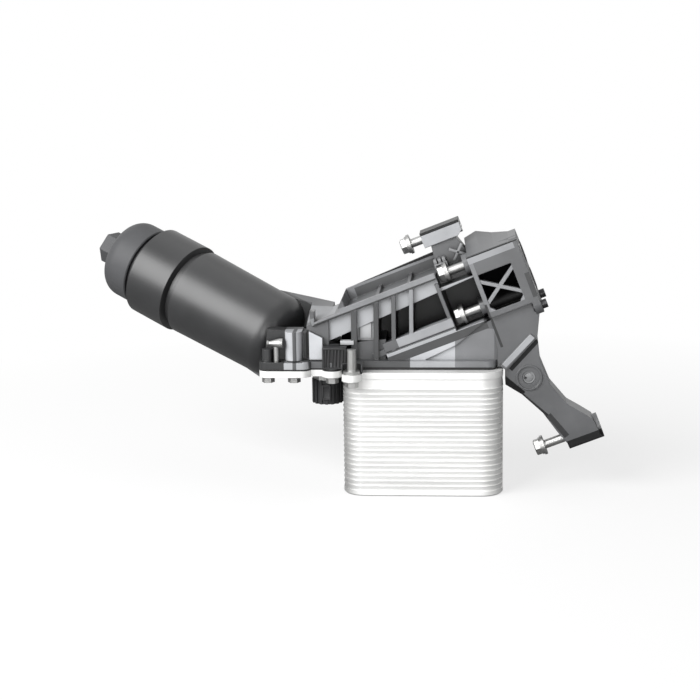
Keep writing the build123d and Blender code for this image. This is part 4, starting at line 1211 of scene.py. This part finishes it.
@dataclass
class Studio:
    """White sweep, soft lamps and the camera at the photograph's angle. Lengths are in metres."""

    target: Point = (-0.0671, 0.0, 0.1251)
    distance: float = 1.60
    elevation: float = 11.76
    azimuth: float = 4.27
    lens: float = 90.1
    sensor: float = 36.0
    roll: float = -0.82
    floor_size: float = 12.0
    floor_drop: float = 0.0002
    floor_roughness: float = 0.9
    floor_colours: Range = (0.3, 0.9)
    shadow_reach: Range = (0.2, 0.75)
    least_glow: float = 0.72
    world_light: float = 0.14
    lamps: tuple[Lamp, ...] = (
        Lamp("key", (-1.10, -1.00, 0.95), aim=(-0.1, 0.0, 0.17), size=1.35, power=46.0),
        Lamp("front", (0.1, -1.85, 0.35), aim=(0.0, 0.0, 0.14), size=0.6, power=8.5),
        Lamp("side", (1.5, -0.7, 0.45), aim=(0.05, 0.0, 0.1), size=0.7, power=4.0),
        Lamp("top", (0.1, 0.3, 1.7), aim=(0.0, 0.0, 0.15), size=1.2, power=3.0),
    )

    def floor(self) -> None:
        """Lay the floor: white to the camera, apart from the shadow that it keeps near the object."""
        deselect()
        bpy.ops.mesh.primitive_plane_add(size=self.floor_size, location=(0.0, 0.0, -self.floor_drop))
        floor = bpy.context.object
        floor.name = "floor"
        material, shader = principled("floor_white")
        tree = material.node_tree
        seen = tree.nodes.new("ShaderNodeLightPath").outputs["Is Camera Ray"]
        tree.links.new(span(tree, seen, *self.floor_colours), shader.inputs["Base Color"])
        shader.inputs["Roughness"].default_value = self.floor_roughness
        away = tree.nodes.new("ShaderNodeVectorMath")
        away.operation = "LENGTH"
        tree.links.new(object_place(tree), away.inputs[0])
        glow = span(tree, away.outputs["Value"], self.least_glow, 1.0, *self.shadow_reach)
        white = tree.nodes.new("ShaderNodeEmission")
        white.inputs["Strength"].default_value = 1.0
        mix = tree.nodes.new("ShaderNodeMixShader")
        tree.links.new(arithmetic(tree, "MULTIPLY", seen, glow), mix.inputs["Fac"])
        tree.links.new(shader.outputs["BSDF"], mix.inputs[1])
        tree.links.new(white.outputs["Emission"], mix.inputs[2])
        tree.links.new(mix.outputs["Shader"], tree.nodes["Material Output"].inputs["Surface"])
        floor.data.materials.append(material)

    def world(self) -> None:
        """White to the camera, in reflections and through glass, and softer as a light."""
        world = bpy.data.worlds.new("studio")
        bpy.context.scene.world = world
        world.use_nodes = True
        tree = world.node_tree
        light = tree.nodes["Background"]
        light.inputs["Color"].default_value = WHITE
        light.inputs["Strength"].default_value = self.world_light
        white = tree.nodes.new("ShaderNodeBackground")
        white.inputs["Color"].default_value = WHITE
        white.inputs["Strength"].default_value = 1.0
        rays = tree.nodes.new("ShaderNodeLightPath")
        seen = rays.outputs["Is Camera Ray"]
        for kind in ("Is Glossy Ray", "Is Transmission Ray"):
            seen = arithmetic(tree, "MAXIMUM", seen, rays.outputs[kind])
        mix = tree.nodes.new("ShaderNodeMixShader")
        tree.links.new(seen, mix.inputs["Fac"])
        tree.links.new(light.outputs["Background"], mix.inputs[1])
        tree.links.new(white.outputs["Background"], mix.inputs[2])
        tree.links.new(mix.outputs["Shader"], tree.nodes["World Output"].inputs["Surface"])

    def camera(self) -> None:
        """Set the camera, which looks at the target from its distance, elevation and azimuth."""
        data = bpy.data.cameras.new("camera")
        data.lens = self.lens
        data.sensor_width = self.sensor
        camera = bpy.data.objects.new("camera", data)
        up = math.radians(self.elevation)
        turn = math.radians(self.azimuth)
        back = Vector((math.sin(turn) * math.cos(up), -math.cos(turn) * math.cos(up), math.sin(up)))
        look = (-back).to_track_quat("-Z", "Y")
        camera.matrix_world = (
            Matrix.Translation(Vector(self.target) + back * self.distance)
            @ look.to_matrix().to_4x4()
            @ Matrix.Rotation(math.radians(self.roll), 4, "Z")
        )
        bpy.context.scene.collection.objects.link(camera)
        bpy.context.scene.camera = camera

    def set_up(self) -> None:
        """Place everything around the object."""
        self.floor()
        self.world()
        for lamp in self.lamps:
            lamp.hang()
        self.camera()
        bpy.context.scene.view_settings.view_transform = "Standard"
        LOG.info("studio ready")


def main() -> None:
    """Dress the frame and set the scene around it."""
    logging.basicConfig(level=logging.INFO, format="%(name)s: %(message)s")
    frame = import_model()
    wardrobe = Wardrobe(frame["nodes"])
    wardrobe.dress()
    FootShadeCover(wardrobe).build()
    FrameInfill(wardrobe).build()
    ArmPad(wardrobe).build()
    DeckFittings(wardrobe).build()
    PlugLatch(wardrobe).build()
    for bolt in BOLTS:
        BoltThread(wardrobe, bolt).build()
    Studio().set_up()


if __name__ == "__main__":
    main()
